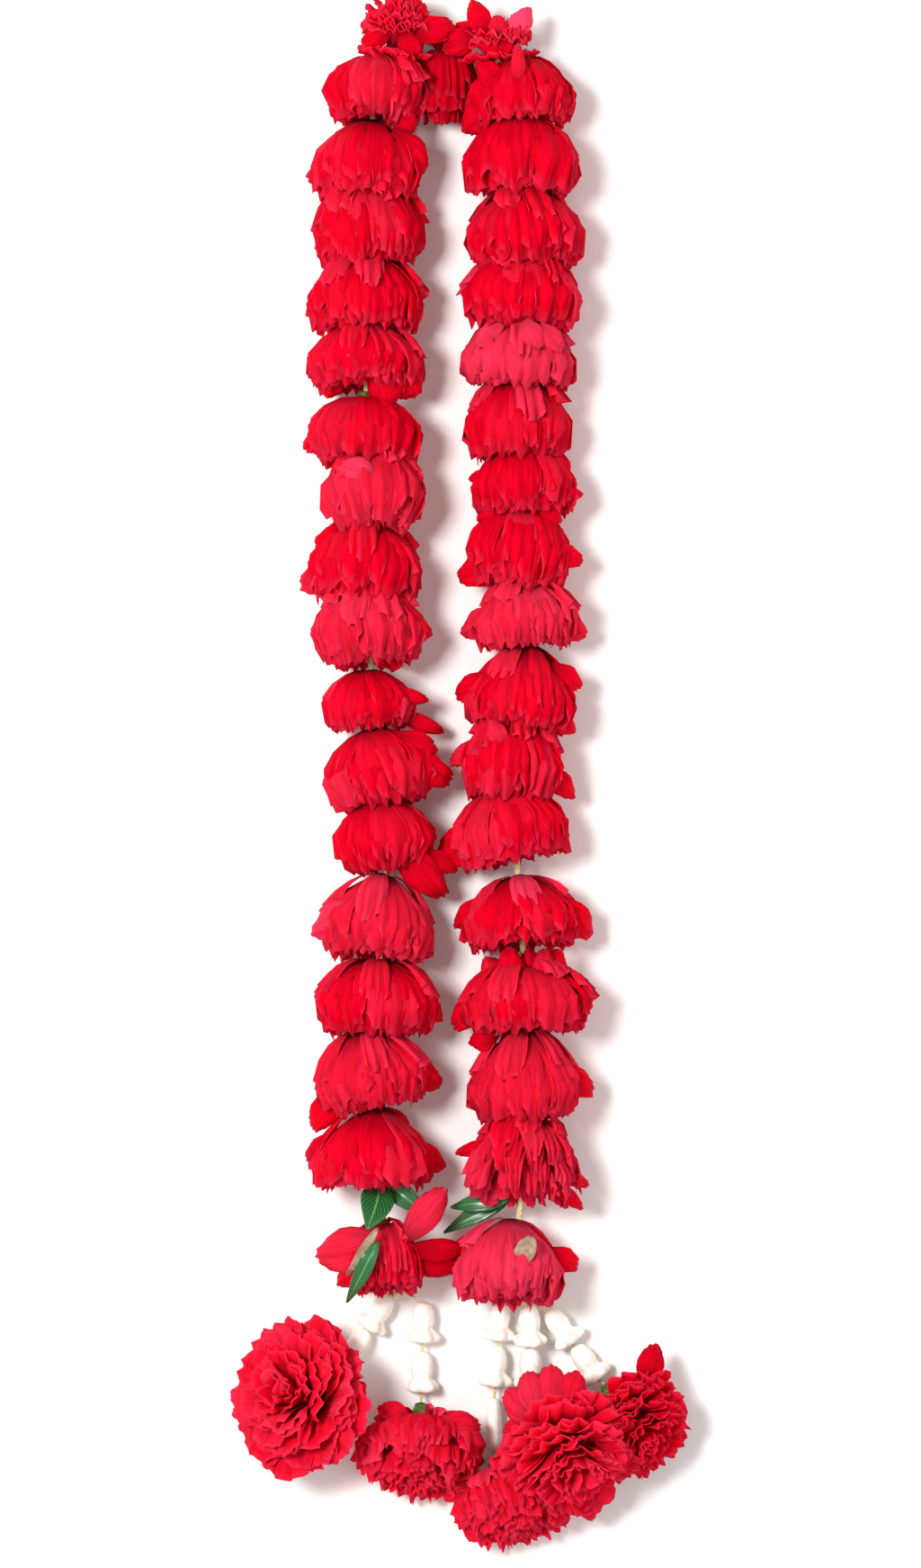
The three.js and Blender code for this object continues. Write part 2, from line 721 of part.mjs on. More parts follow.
const throatShape = halfOpenBloom(THROAT_BLOOM.radius, THROAT_BLOOM.length, randomStream(SEEDS.throat));
const throat = named('throat_bloom', throatShape, 'petals');
lei.add(press(aim(throat, vec(THROAT_BLOOM.tip), vec(THROAT_BLOOM.towards))));

Object.entries(TASSEL).forEach(([letter, string], i) => {
  lei.add(...tasselString(letter, string, SEEDS.crowns + 10 * i));
  lei.add(tasselBloom(letter, TASSEL_BLOOMS[letter], SEEDS.tassel + i));
});
const bud = along(TASSEL.c.points.map(vec), SLIM_BUD.from);
lei.add(aim(named('crown_c3', slimBud(SLIM_BUD.length, SLIM_BUD.radius), 'crown'), bud.point, bud.direction));

for (const [name, shape] of Object.entries(LEAVES)) {
  lei.add(named(name, leafBlade(shape), 'leaf'));
}

export default lei;
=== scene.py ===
# %% [markdown]
# # A fresh flower lei, laid flat
# A lei is a row of flower heads threaded on a cord. This one is a long narrow loop: eighteen red
# carnations hang on each side like stacked skirts, a few leaves are tucked in low down, and the loop ends
# in a tassel of white crown flowers and full carnations. Everything here is made in metres around the
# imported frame, and the tables are in millimetres, as a garland maker would measure them.

# %% Load the frame
import math
import random

import bpy
import numpy as np
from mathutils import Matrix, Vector


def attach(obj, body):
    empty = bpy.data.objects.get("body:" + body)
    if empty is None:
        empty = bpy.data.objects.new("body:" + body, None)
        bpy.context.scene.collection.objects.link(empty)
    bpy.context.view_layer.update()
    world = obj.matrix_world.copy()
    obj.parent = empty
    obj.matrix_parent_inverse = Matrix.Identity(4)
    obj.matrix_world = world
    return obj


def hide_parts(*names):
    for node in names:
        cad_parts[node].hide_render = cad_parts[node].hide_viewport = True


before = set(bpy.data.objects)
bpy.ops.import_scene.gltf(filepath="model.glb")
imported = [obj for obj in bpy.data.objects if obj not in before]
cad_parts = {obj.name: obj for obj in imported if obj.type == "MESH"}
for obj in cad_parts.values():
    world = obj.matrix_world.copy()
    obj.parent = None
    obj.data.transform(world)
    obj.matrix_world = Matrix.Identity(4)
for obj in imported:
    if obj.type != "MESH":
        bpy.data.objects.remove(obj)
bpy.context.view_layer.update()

MM = 0.001
print("frame loaded:", len(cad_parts), "nodes")

# %% [markdown]
# The camera looks straight down on the table. A long lens keeps the two strands parallel, and the picture
# takes in 430 x 732 mm at the height of the blooms' middles. The plain view transform is used, because the
# film-like one washes the petals' red out to salmon.

# %% Camera
IMAGE_HEIGHT_PIXELS = 1743
MM_PER_PIXEL = 0.42
SENSOR_MM = 36.0
LENS_MM = 120.0
FOCUS_HEIGHT = 25.0
FRAME_CENTRE = (0.0, -3.6)

view_length = IMAGE_HEIGHT_PIXELS * MM_PER_PIXEL
camera_height = FOCUS_HEIGHT + view_length * LENS_MM / SENSOR_MM
bpy.context.scene.view_settings.view_transform = "Standard"
camera_data = bpy.data.cameras.new("camera")
camera_data.lens = LENS_MM
camera_data.sensor_width = SENSOR_MM
camera = bpy.data.objects.new("camera", camera_data)
camera.location = (FRAME_CENTRE[0] * MM, FRAME_CENTRE[1] * MM, camera_height * MM)
bpy.context.scene.collection.objects.link(camera)
bpy.context.scene.camera = camera
print("camera", round(camera_height), "mm above the table")

# %% [markdown]
# A finish is a small tree of nodes. Four helpers keep the trees short: one turns a colour from a chart
# into Blender's linear numbers, one adds a node with its settings and links, one starts a material with
# its constant values, and one ends it with a colour and a relief.

# %% Helpers for finishes


def linear(colour, alpha=1.0):
    """A colour written as sRGB hex, such as 0xff8800, as the linear numbers that Blender uses."""
    channels = [((colour >> shift) & 255) / 255 for shift in (16, 8, 0)]
    return tuple(c / 12.92 if c <= 0.04045 else ((c + 0.055) / 1.055) ** 2.4 for c in channels) + (alpha,)


def node(tree, kind, settings=None, links=None):
    """Adds a node, sets its properties or inputs, and links its inputs to other nodes' outputs. Where a link
    names a node and no output, its first output is meant."""
    made = tree.nodes.new("ShaderNode" + kind)
    for key, value in (settings or {}).items():
        if isinstance(key, str) and hasattr(made, key):
            setattr(made, key, value)
        else:
            made.inputs[key].default_value = value
    for key, source in (links or {}).items():
        tree.links.new(getattr(source, "outputs", [source])[0], made.inputs[key])
    return made


def new_material(name, **inputs):
    """A material with one Principled shader, whose constant values are set on its own sockets."""
    material = bpy.data.materials.new(name)
    material.use_nodes = True
    shader = material.node_tree.nodes["Principled BSDF"]
    for key, value in inputs.items():
        shader.inputs[key.replace("_", " ")].default_value = value
    return material, material.node_tree, shader


def cover(tree, shader, colour, height, strength, relief, **settings):
    """Gives the shader its colour, and a bump that follows `height` and is `relief` millimetres high."""
    bump = node(tree, "Bump", {"Strength": strength, "Distance": relief * MM, **settings}, {"Height": height})
    tree.links.new(colour, shader.inputs["Base Color"])
    tree.links.new(bump.outputs[0], shader.inputs["Normal"])


print("mid grey in linear numbers:", round(linear(0x808080)[0], 3))

# %% [markdown]
# The real lei lay in strong light from the upper left. Here one large soft lamp stands there, a weaker one
# fills from the right, and the room gives an even white light, so that the petals keep their red in the
# shade.

# %% Lights and table
LAMPS = {
    "key": {"at": (-0.8, 0.3, 2.0), "size": 0.5, "watts": 45.0},
    "fill": {"at": (1.4, -0.6, 1.6), "size": 1.2, "watts": 8.0},
}
ROOM_STRENGTH = 0.61
TABLE_SIZE = 6.0

for name, lamp in LAMPS.items():
    data = bpy.data.lights.new(name, "AREA")
    data.energy = lamp["watts"]
    data.size = lamp["size"]
    light = bpy.data.objects.new(name, data)
    light.location = lamp["at"]
    light.rotation_mode = "QUATERNION"
    light.rotation_quaternion = Vector(lamp["at"]).to_track_quat("Z", "Y")
    bpy.context.scene.collection.objects.link(light)

world = bpy.data.worlds.new("room")
world.use_nodes = True
background = world.node_tree.nodes["Background"]
background.inputs["Color"].default_value = linear(0xFFFFFF)
background.inputs["Strength"].default_value = ROOM_STRENGTH
bpy.context.scene.world = world

bpy.ops.mesh.primitive_plane_add(size=TABLE_SIZE, location=(0, 0, 0))
table = bpy.context.object
table.name = "table"
paint, _, _ = new_material("matt white table paint", Base_Color=linear(0xF6F5F3), Roughness=0.8)
table.data.materials.append(paint)
print("lights:", ", ".join(LAMPS))

# %% [markdown]
# A fresh carnation petal is soft, matt and a little velvety. Its colour is darker at the foot, which is
# painted shade from deep in the bloom, and paler at the frilled rim, partly its own pale edge and partly a
# painted highlight. Fine veins run along it, and light goes a little way in and comes out redder, which the
# subsurface values give. Colour and veins follow the petal, so they read its own UV map, across it and along
# it. A tint on each petal makes it pinker, partly its own pink and partly a painted highlight, and below zero
# it is painted shade that darkens the petal.

# %% Petal finish
PETAL_WIDTH = 25.0
VEIN_SPACING = 1.8
VEIN_SHADE = {"From Min": 0.3, "From Max": 0.7, "To Min": 0.72, "To Max": 1.13}
# Below zero a petal's tint is painted shade, darkest at -1.
DARKEST_PAINTED_SHADE = {"From Min": -1.0, "From Max": 0.0, "To Min": 0.4}
VEIN_RELIEF = (0.6, 0.5)
# Pink for pinker petals: partly their own pink, partly painted highlights.
PINK_AND_HIGHLIGHT = linear(0xFF4A70)
# Along the petal: painted shade at the foot, the petal's own red, and a paler rim that is partly a painted
# highlight.
PETAL_TONES_PAINTED_LIGHT = [(0.12, 0xA00014), (0.55, 0xDA001E), (0.9, 0xDA001E), (1.0, 0xEA2040)]


def set_tones(ramp, tones):
    """Gives a colour ramp its tones, each as a place from 0 to 1 and an sRGB hex colour."""
    while len(ramp.elements) < len(tones):
        ramp.elements.new(1.0)
    for element, (position, colour) in zip(ramp.elements, tones):
        element.position, element.color = position, linear(colour)


PETAL, tree, shader = new_material(
    "fresh carnation petal, soft and velvety", Roughness=0.68, IOR=1.4, Sheen_Weight=0.01,
    Sheen_Roughness=0.5, Sheen_Tint=linear(0xFF8FA0), Specular_IOR_Level=0.03, Subsurface_Weight=0.35,
    Subsurface_Radius=(1.0, 0.12, 0.16), Subsurface_Scale=3 * MM,
)
uv = node(tree, "UVMap", {"uv_map": "petal"})
parts = node(tree, "SeparateXYZ", links={0: uv})
along = node(tree, "ValToRGB", links={0: parts.outputs["Y"]})
set_tones(along.color_ramp, PETAL_TONES_PAINTED_LIGHT)
tint_highlight_shade = node(tree, "Attribute", {"attribute_name": "tint_highlight_shade"})
pinker = node(tree, "Mix", {"data_type": "RGBA", 7: PINK_AND_HIGHLIGHT}, {0: tint_highlight_shade.outputs["Fac"], 6: along})
veins_across = PETAL_WIDTH / VEIN_SPACING
stretch = node(tree, "Mapping", {"Scale": (veins_across, 2.0, 1.0)}, {"Vector": uv})
veins = node(tree, "TexNoise", {"Scale": 1.0, "Detail": 2.0}, {"Vector": stretch})
shade = node(tree, "MapRange", VEIN_SHADE, {"Value": veins})
# Painted shade: a tint below zero darkens the petal.
painted_shade = node(tree, "MapRange", DARKEST_PAINTED_SHADE, {"Value": tint_highlight_shade.outputs["Fac"]})
depth = node(tree, "Math", {"operation": "MULTIPLY"}, {0: shade, 1: painted_shade})
coloured = node(tree, "VectorMath", {"operation": "MULTIPLY"}, {0: pinker.outputs[2], 1: depth})
cover(tree, shader, coloured.outputs[0], veins, *VEIN_RELIEF)
print("material:", PETAL.name)

# %% [markdown]
# Every petal starts from the same flat grid, sixteen faces wide and four long. Its points are placed by a
# formula instead of by hand, because each petal has its own bend, ruffles and teeth. The blank keeps each
# point's place across the petal (-1 to 1) and along it (0 to 1).

# %% The blank of a petal
PETAL_COLUMNS = 16
PETAL_ROWS = 4


def points_of(piece):
    return np.array([v.co[:] for v in piece.data.vertices])


def add_grid(columns, rows):
    """A flat grid that reaches from -1 to 1 both ways, with nothing else selected."""
    bpy.ops.object.select_all(action="DESELECT")
    bpy.ops.mesh.primitive_grid_add(x_subdivisions=columns, y_subdivisions=rows, size=2)
    return bpy.context.object


blank = add_grid(PETAL_COLUMNS, PETAL_ROWS)
BLANK_POINTS = points_of(blank)
BLANK_FACES = np.array([p.vertices[:] for p in blank.data.polygons])
ACROSS = BLANK_POINTS[:, 0]
ALONG = (BLANK_POINTS[:, 1] + 1) / 2
COLUMN = np.rint((ACROSS + 1) / 2 * PETAL_COLUMNS).astype(int)
bpy.data.objects.remove(blank)
print("petal blank:", len(BLANK_POINTS), "points,", len(BLANK_FACES), "faces")

# %% [markdown]
# A petal leaves the calyx narrow, arches outwards, widens, and ends in a toothed rim. Its middle line is a
# curve with four handles, as in a drawing program: foot, shoulder, hip and tip. Each petal draws its own
# length, teeth, ruffles and lean, always in the same order, so the lei comes out the same each time.

# %% One petal
TOOTH_DEPTH = 0.03
FOOT_WIDTH = 0.2
CORNER_DROP = 0.16
CUP = 0.8
LEAN = 0.12
WAVES = (2.0, 3.4)
CORNER_CHANCE = (0.6, 1.5)
RUFFLE_CHANCE = (0.7, 1.3)
WIDTH_CHANCE = (0.85, 1.12)
UNEVEN = 0.06
CURL = 2.0
AXIS_GAP = 0.6


def unit(vectors):
    """A vector, or each row of an array of them, at length one."""
    vectors = np.asarray(vectors, float)
    return vectors / np.linalg.norm(vectors, axis=-1, keepdims=True)


def bend(t, points):
    """The cubic curve with foot, shoulder, hip and tip as its handles, at shares t, and its direction."""
    foot, shoulder, hip, tip = points
    t = t[:, None]
    path = (1 - t) ** 3 * foot + 3 * (1 - t) ** 2 * t * shoulder + 3 * (1 - t) * t**2 * hip + t**3 * tip
    slope = (1 - t) ** 2 * (shoulder - foot) + 2 * (1 - t) * t * (hip - shoulder) + t**2 * (tip - hip)
    return path, unit(slope)


def drawn_teeth(rng):
    """How far the teeth move each point of the blank along its petal."""
    depths = np.array([rng.uniform(-1, 1) for _ in range(PETAL_COLUMNS + 1)])
    return TOOTH_DEPTH * depths[COLUMN] * ALONG**5


def petal_points(row, theta, rng):
    """The points of one petal, in millimetres, on a bloom at the origin that faces along +Z. The row gives
    its foot, shoulder, hip and tip as (distance from the axis, distance along it), half its width, and how
    much it ruffles."""
    foot, shoulder, hip, tip = (np.array(p, float) for p in row["path"])
    uneven = row.get("uneven", UNEVEN)
    grow = rng.uniform(1 - 1.3 * uneven, 1 + uneven)
    hip = shoulder + (hip - shoulder) * grow
    tip = shoulder + (tip - shoulder) * grow
    teeth = drawn_teeth(rng)
    corner = CORNER_DROP * rng.uniform(*CORNER_CHANCE)
    t = ALONG * (1 - corner * np.abs(ACROSS) ** 2.5) + teeth
    path, slope = bend(t, (foot, shoulder, hip, tip))
    outward = np.stack([slope[:, 1], -slope[:, 0]], axis=1)
    waves = rng.uniform(*WAVES)
    phase = rng.uniform(0, 2 * math.pi)
    ruffle = row["ruffle"] * rng.uniform(*RUFFLE_CHANCE)
    lift = ruffle * ALONG**2.2 * np.sin(math.pi * waves * ACROSS + phase)
    lift += 0.55 * ruffle * ALONG**3 * np.sin(math.pi * 1.7 * waves * ACROSS + 2.3 * phase + 3 * ALONG)
    lift += CUP * ACROSS * ALONG
    lift += rng.uniform(-1, 1) * row.get("twist", 0.0) * row["half"] * ACROSS * ALONG**1.5
    lift += rng.uniform(-0.7, 0.7) * row.get("curl", CURL) * ALONG**3
    path = path + outward * lift[:, None]
    half = row["half"] * rng.uniform(*WIDTH_CHANCE)
    half = half * (FOOT_WIDTH + (1 - FOOT_WIDTH) * np.sin(math.pi / 2 * np.minimum(1.2 * ALONG, 1)))
    half = half * (1 - row.get("taper", 0.0) * ALONG**2)
    radius = np.maximum(path[:, 0], AXIS_GAP)
    lean = rng.uniform(-LEAN, LEAN) * ALONG
    angle = theta + lean + ACROSS * half / np.maximum(radius, 0.55 * half)
    return np.stack([radius * np.cos(angle), radius * np.sin(angle), path[:, 1]], axis=1)


print("a petal draws", PETAL_COLUMNS + 1, "teeth and its own bend, ruffles and lean")

# %% [markdown]
# Here and there a single petal stands out or hangs from its bloom. Each of these strays is a blade of its
# own, arched and a little cupped, from a foot inside the bloom to a tip read from the outline of the lei.

# %% A petal that leaves its bloom
STRAY_ARCH = 0.16
STRAY_CUP = 0.3
STRAY_RUFFLE = 0.15
STRAY_WAVES = (1.2, 2.2)


def level_axes(heading):
    """Across and above, for headings of length one: the level way across each, and the way up from it."""
    side = unit(np.cross([0.0, 0.0, 1.0], heading))
    return side, np.cross(heading, side)


def stray_points(foot, tip, half, rng):
    """The points of a single petal from its foot to its tip, with half its width, all in millimetres."""
    foot, tip = np.array(foot, float), np.array(tip, float)
    length = np.linalg.norm(tip - foot)
    heading = (tip - foot) / length
    side, up = level_axes(heading)
    t = ALONG * (1 - 1.6 * CORNER_DROP * np.abs(ACROSS) ** 2.2) + drawn_teeth(rng)
    width = half * (0.4 + 0.6 * np.sin(math.pi / 2 * np.minimum(1.3 * ALONG, 1)))
    width *= 1 - 0.25 * ALONG**4
    waves = rng.uniform(*STRAY_WAVES)
    lift = STRAY_ARCH * length * 4 * ALONG * (1 - ALONG) - STRAY_CUP * half * ACROSS**2
    lift += STRAY_RUFFLE * half * ALONG**1.5 * np.sin(math.pi * waves * ACROSS + rng.uniform(0, 2 * math.pi))
    return foot + heading * (t * length)[:, None] + side * (ACROSS * width)[:, None] + up * lift[:, None]


print("a stray petal arches by", STRAY_ARCH, "of its length")

# %% [markdown]
# The lei lies on the table, so the petals under each bloom are pressed flat. Instead of cutting them off,
# the lowest few millimetres are squeezed together: the petals stay in their layers and none reaches the
# table.

# %% Placing on the table
PRESS_HEIGHT = 4.0


def pressed(points):
    """The points with everything below PRESS_HEIGHT squeezed into the space above the table."""
    low = points[:, 2] < PRESS_HEIGHT
    points[low, 2] = PRESS_HEIGHT * np.exp(points[low, 2] / PRESS_HEIGHT - 1)
    return points


def place(points, base, direction):
    """Points that face along +Z, turned to face along `direction`, with up away from the table."""
    forward = unit(direction)
    return pressed(np.array(base) + points @ np.stack([*level_axes(forward), forward]))


print("pressed below", PRESS_HEIGHT, "mm")

# %% [markdown]
# Each piece ends the same way: its points are written in metres, it gets its name and its one material,
# its modifiers are applied, and it takes the place of its CAD node on the body that carries it.

# %% Helpers for pieces


def set_points(piece, points):
    """Writes points that are given in millimetres."""
    piece.data.vertices.foreach_set("co", (points * MM).astype(np.float32).ravel())


def dress(piece, name, material):
    piece.name = piece.data.name = name
    piece.data.materials.append(material)


def write_uv(piece, name, across, along):
    """The piece's one UV map, from each point's place across it (-1 to 1) and along it (0 to 1)."""
    layers = piece.data.uv_layers
    layer = layers[0] if layers else layers.new()
    layer.name = name
    corners = np.concatenate([p.vertices[:] for p in piece.data.polygons])
    uv = np.stack([(across[corners] + 1) / 2, along[corners]], axis=1)
    layer.data.foreach_set("uv", uv.astype(np.float32).ravel())


def add_object(name, points, faces, material):
    """A new mesh object from points in millimetres, in the scene and with its material."""
    mesh = bpy.data.meshes.new(name)
    mesh.from_pydata((np.asarray(points) * MM).tolist(), [], [list(map(int, f)) for f in faces])
    made = bpy.data.objects.new(name, mesh)
    bpy.context.scene.collection.objects.link(made)
    dress(made, name, material)
    return made


def complete(piece):
    """Applies the piece's modifiers and shades it smooth."""
    bpy.ops.object.select_all(action="DESELECT")
    piece.select_set(True)
    bpy.context.view_layer.objects.active = piece
    for modifier in list(piece.modifiers):
        bpy.ops.object.modifier_apply(modifier=modifier.name)
    bpy.ops.object.shade_smooth()


def thicken(piece, thickness):
    """Gives a flat sheet its thickness in millimetres, half of it to each side."""
    wall = piece.modifiers.new("thickness", "SOLIDIFY")
    wall.thickness = thickness * MM
    wall.offset = 0
    complete(piece)


def stand_for(piece, slot, *nodes):
    """The piece takes the place of CAD nodes and rides on the lei. Its slot is not used."""
    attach(piece, "root")
    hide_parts(*nodes)


print("helpers for pieces are ready")

# %% [markdown]
# A bloom is one mesh of all its petals. Solidify gives the petals a thickness: real ones are thinner
# still, but at this size a third of a millimetre catches the light along the rim as they do.

# %% A bloom from its rows of petals
PETAL_THICKNESS = 0.32
SPACING_CHANCE = 0.25
PINK_CHANCE = (0.4, 1.6)
ODD_PINK = (-0.01, 0.1)


def make_petals(name, rows, base, direction, seed, pinkness=0.0, strays=()):
    """All petals of one bloom as one mesh, with the UV map and the tint that the petal finish reads: pinker
    is partly a painted highlight, and below zero it is painted shade. A stray is foot x, y, z, tip x, y, z,
    half width and that tint, in the lei's own millimetres."""
    rng = random.Random(seed)
    points, tints_highlight_shade = [], []
    for row in rows:
        start = rng.uniform(0, 2 * math.pi)
        for i in range(row["count"]):
            off = rng.uniform(-SPACING_CHANCE, SPACING_CHANCE)
            theta = start + (i + off) * 2 * math.pi / row["count"]
            points.append(place(petal_points(row, theta, rng), base, direction))
            # A row's pink, which is partly a painted highlight, and now and then a pinker petal by chance.
            pinker = rng.uniform(*PINK_CHANCE) * row.get("pink", 0) + max(0, rng.gauss(*ODD_PINK))
            tints_highlight_shade.append(min(1.0, pinkness + pinker))
    for stray in strays:
        points.append(pressed(stray_points(stray[:3], stray[3:6], stray[6], rng)))
        tints_highlight_shade.append(stray[7])
    petals, size = len(points), len(BLANK_POINTS)
    faces = np.concatenate([BLANK_FACES + i * size for i in range(petals)])
    piece = add_object(name, np.concatenate(points), faces, PETAL)
    write_uv(piece, "petal", np.tile(ACROSS, petals), np.tile(ALONG, petals))
    tint_highlight_shade = piece.data.attributes.new("tint_highlight_shade", "FLOAT", "POINT")
    tint_highlight_shade.data.foreach_set("value", np.repeat(np.array(tints_highlight_shade, np.float32), size))
    thicken(piece, PETAL_THICKNESS)
    return piece


print("petals are", PETAL_THICKNESS, "mm thick")

# %% [markdown]
# The calyx is the green cup that holds the petals' feet: waxy, with a deep and a pale green in small
# specks. The crown flowers, the dried petal and the cord are mottled too, so one recipe serves all four.
# It takes the specks' size in millimetres, two tones and the height of the relief, and the shader's values
# do the rest.

# %% Mottled finishes, and the calyx's
CALYX_SPECK = 1.5


def mottled_finish(name, speck, tones, relief, detail=3.0, **inputs):
    """Specks in millimetres, tones as for a colour ramp, and the relief's strength and height."""
    material, tree, shader = new_material(name, **inputs)
    place_of = node(tree, "TexCoord")
    noise = node(tree, "TexNoise", {"Scale": 1 / (speck * MM), "Detail": detail},
                 {"Vector": place_of.outputs["Object"]})
    colour = node(tree, "ValToRGB", links={0: noise})
    set_tones(colour.color_ramp, tones)
    cover(tree, shader, colour.outputs[0], noise, *relief)
    return material


CALYX_TONES = [(0.35, 0x37561F), (0.7, 0x6F8B3C)]
CALYX = mottled_finish("fresh green calyx, waxy", CALYX_SPECK, CALYX_TONES, (0.3, 0.2), Roughness=0.45,
                       IOR=1.42)
print("material:", CALYX.name)

# %% [markdown]
# The garland maker trims the calyx short and threads the cord through it. It starts as a cylinder, and all
# its edges are cut, so that its shape can change along it. Then it is widened towards the petals, and its end
# is drawn out in five lobes.

# %% Calyx shape
CALYX_SIDES = 20
CALYX_CUTS = 5
LOBE_SWELL = 0.05
LOBE_LENGTH = 0.16


def make_calyx(name, radii, length, base, direction):
    """A calyx from its length and its radii at the tip, the middle and the end."""
    bpy.ops.object.select_all(action="DESELECT")
    bpy.ops.mesh.primitive_cylinder_add(vertices=CALYX_SIDES, radius=1, depth=2, end_fill_type="NGON")
    piece = bpy.context.object
    bpy.ops.object.mode_set(mode="EDIT")
    bpy.ops.mesh.subdivide(number_cuts=CALYX_CUTS)
    bpy.ops.object.mode_set(mode="OBJECT")
    points = points_of(piece)
    t = (points[:, 2] + 1) / 2
    angle = np.arctan2(points[:, 1], points[:, 0])
    radius = np.interp(t, [0, 0.5, 1], radii) * np.minimum(1, np.hypot(points[:, 0], points[:, 1]))
    radius *= 1 + LOBE_SWELL * np.cos(5 * angle)
    height = length * (t + LOBE_LENGTH * t**4 * np.cos(5 * angle))
    local = np.stack([radius * np.cos(angle), radius * np.sin(angle), height], axis=1)
    set_points(piece, place(local, base, direction))
    dress(piece, name, CALYX)
    complete(piece)
    return piece


def make_bloom(name, rows, base, face, seed, pinkness=0.0, strays=(), calyx=None):
    """A bloom in the place of its CAD node. The calyx is given as its radii, length, base and direction."""
    pieces = [make_petals(f"petals_{name}", rows, base, face, seed, pinkness, strays)]
    if calyx:
        pieces.append(make_calyx(f"calyx_{name}", *calyx))
    for piece in pieces:
        stand_for(piece, "carnation_petals", name)


print("a calyx has", CALYX_SIDES, "sides, and each edge is cut", CALYX_CUTS, "times")

# %% [markdown]
# The strands come next. Each row of the two tables is a bloom from the top down: where the cord enters it,
# and how wide its rim is, as in the frame's solids. A bloom points to where the cord enters the next one.

# %% The strands' tables
LEFT_STRAND = [
    (-38.6, 340, 54), (-40.3, 317.9, 57), (-43.3, 283.1, 57), (-42.4, 250.7, 59),
    (-44.1, 219.2, 60), (-43.7, 187.7, 59), (-44.1, 155.4, 57), (-42.2, 124, 60),
    (-44.2, 93.6, 60), (-42.4, 63.4, 56), (-40.7, 30.2, 58), (-37, -3.8, 57),
    (-33.2, -39.1, 62), (-37.4, -74.3, 64), (-38.2, -109.6, 65), (-38.2, -144.9, 65),
    (-37.4, -191.9, 58),
]
LEFT_END = (-34.4, -226.4)
RIGHT_STRAND = [
    (27.3, 340, 55), (28.6, 317.9, 58), (27.7, 283.1, 60), (29.8, 250.7, 60),
    (28.1, 220.9, 58), (27.3, 191.1, 55), (27.7, 160.4, 56), (29.8, 129.8, 60),
    (27.3, 99.5, 59), (29.8, 67.6, 60), (26.9, 34.4, 58), (24.8, 0.8, 57),
    (25.6, -34, 65), (29, -71.8, 66), (29.8, -108.4, 64), (31.1, -144.9, 65),
    (28.1, -196.1, 58),
]
RIGHT_END = (25.2, -230.6)
RESTING_SHARE = 0.86


def strand_route(strand, end):
    """The points where the cord enters each bloom, and the strand's end, at the blooms' resting height."""
    heights = [RESTING_SHARE * width / 2 for _, _, width in strand]
    places = [*strand, end]
    return [np.array([p[0], p[1], heights[max(i - 1, 0)]]) for i, p in enumerate(places)]


LEFT_ROUTE = strand_route(LEFT_STRAND, LEFT_END)
RIGHT_ROUTE = strand_route(RIGHT_STRAND, RIGHT_END)
print("strands:", len(LEFT_STRAND), "and", len(RIGHT_STRAND), "blooms")

# %% [markdown]
# A threaded bloom hangs open like a skirt. One skirt with a wavy hem would show no petals, so they stand
# in six rows: the outer one arches furthest and turns in at the rim, and each next one starts higher and
# ends nearer the axis. A bloom that hangs from the tassel has more rows, and one that opened wide has
# pointed petals.

# %% Rows of a threaded bloom
# Each row: petals, half a petal's width, how far out and ahead its tips are, and how high its shoulders are.
THREADED_OUTLINE = [
    (7, 0.46, 0.97, 0.86, 0), (8, 0.44, 1, 0.97, 0.03), (8, 0.4, 0.9, 1.01, 0.12),
    (8, 0.34, 0.78, 1.01, 0.24), (7, 0.3, 0.6, 0.98, 0.38), (5, 0.24, 0.36, 0.92, 0.5),
]
HANGING_OUTLINE = [
    (10, 0.34, 0.98, 0.74, 0), (11, 0.33, 1, 0.88, 0.06), (11, 0.3, 0.93, 1, 0.16),
    (10, 0.28, 0.82, 1.09, 0.28), (9, 0.25, 0.68, 1.16, 0.4), (8, 0.22, 0.52, 1.2, 0.5),
    (6, 0.19, 0.35, 1.22, 0.58), (4, 0.14, 0.18, 1.22, 0.64),
]
STAR_OUTLINE = [
    (11, 0.3, 1.02, 0.72, 0), (11, 0.3, 1.02, 0.9, 0.04), (10, 0.28, 0.92, 1, 0.14),
    (9, 0.26, 0.74, 1.04, 0.28), (8, 0.24, 0.54, 1.08, 0.42), (6, 0.2, 0.3, 1.1, 0.5),
]
FOOT_RADIUS = 4.6
PLAIN_RIM = 0.88
PLAIN_LOWER = 0.03


def threaded_rows(radius, reach, frills, outline=THREADED_OUTLINE, lower=PLAIN_LOWER, rim=PLAIN_RIM):
    """The rows of a threaded bloom: a few short frills on the dome, the outer skirt, and rows that step in.
    Its shoulders start at `lower`, a share of its reach. Its rim is at `rim`, a share of its radius."""
    # The frills' pink is partly a painted highlight on the top of the dome.
    rows = [{
        "count": frills,
        "path": [(FOOT_RADIUS, 0.08 * reach), (0.5 * radius, (lower - 0.1) * reach),
                 (0.8 * radius, (lower + 0.1) * reach), (0.9 * radius, (lower + 0.4) * reach)],
        "half": 0.26 * radius, "ruffle": 2.4, "curl": 3.0, "pink": 0.07, "uneven": 0.3,
    }]
    hip = 1.3 + 0.7 * (PLAIN_RIM - rim)
    for i, (count, half, out, ahead, rise) in enumerate(outline):
        rows.append({
            "count": count,
            "path": [(FOOT_RADIUS - 0.4 * i, (0.1 + 0.07 * i) * reach),
                     (0.42 * out * radius, (lower + rise) * reach),
                     (hip * out * radius, (lower + rise + 0.42) * reach),
                     (rim * out * radius, ahead * reach)],
            "half": half * radius, "ruffle": 1.9, "uneven": 0.08 if i == 0 else 0.04,
        })
    return rows


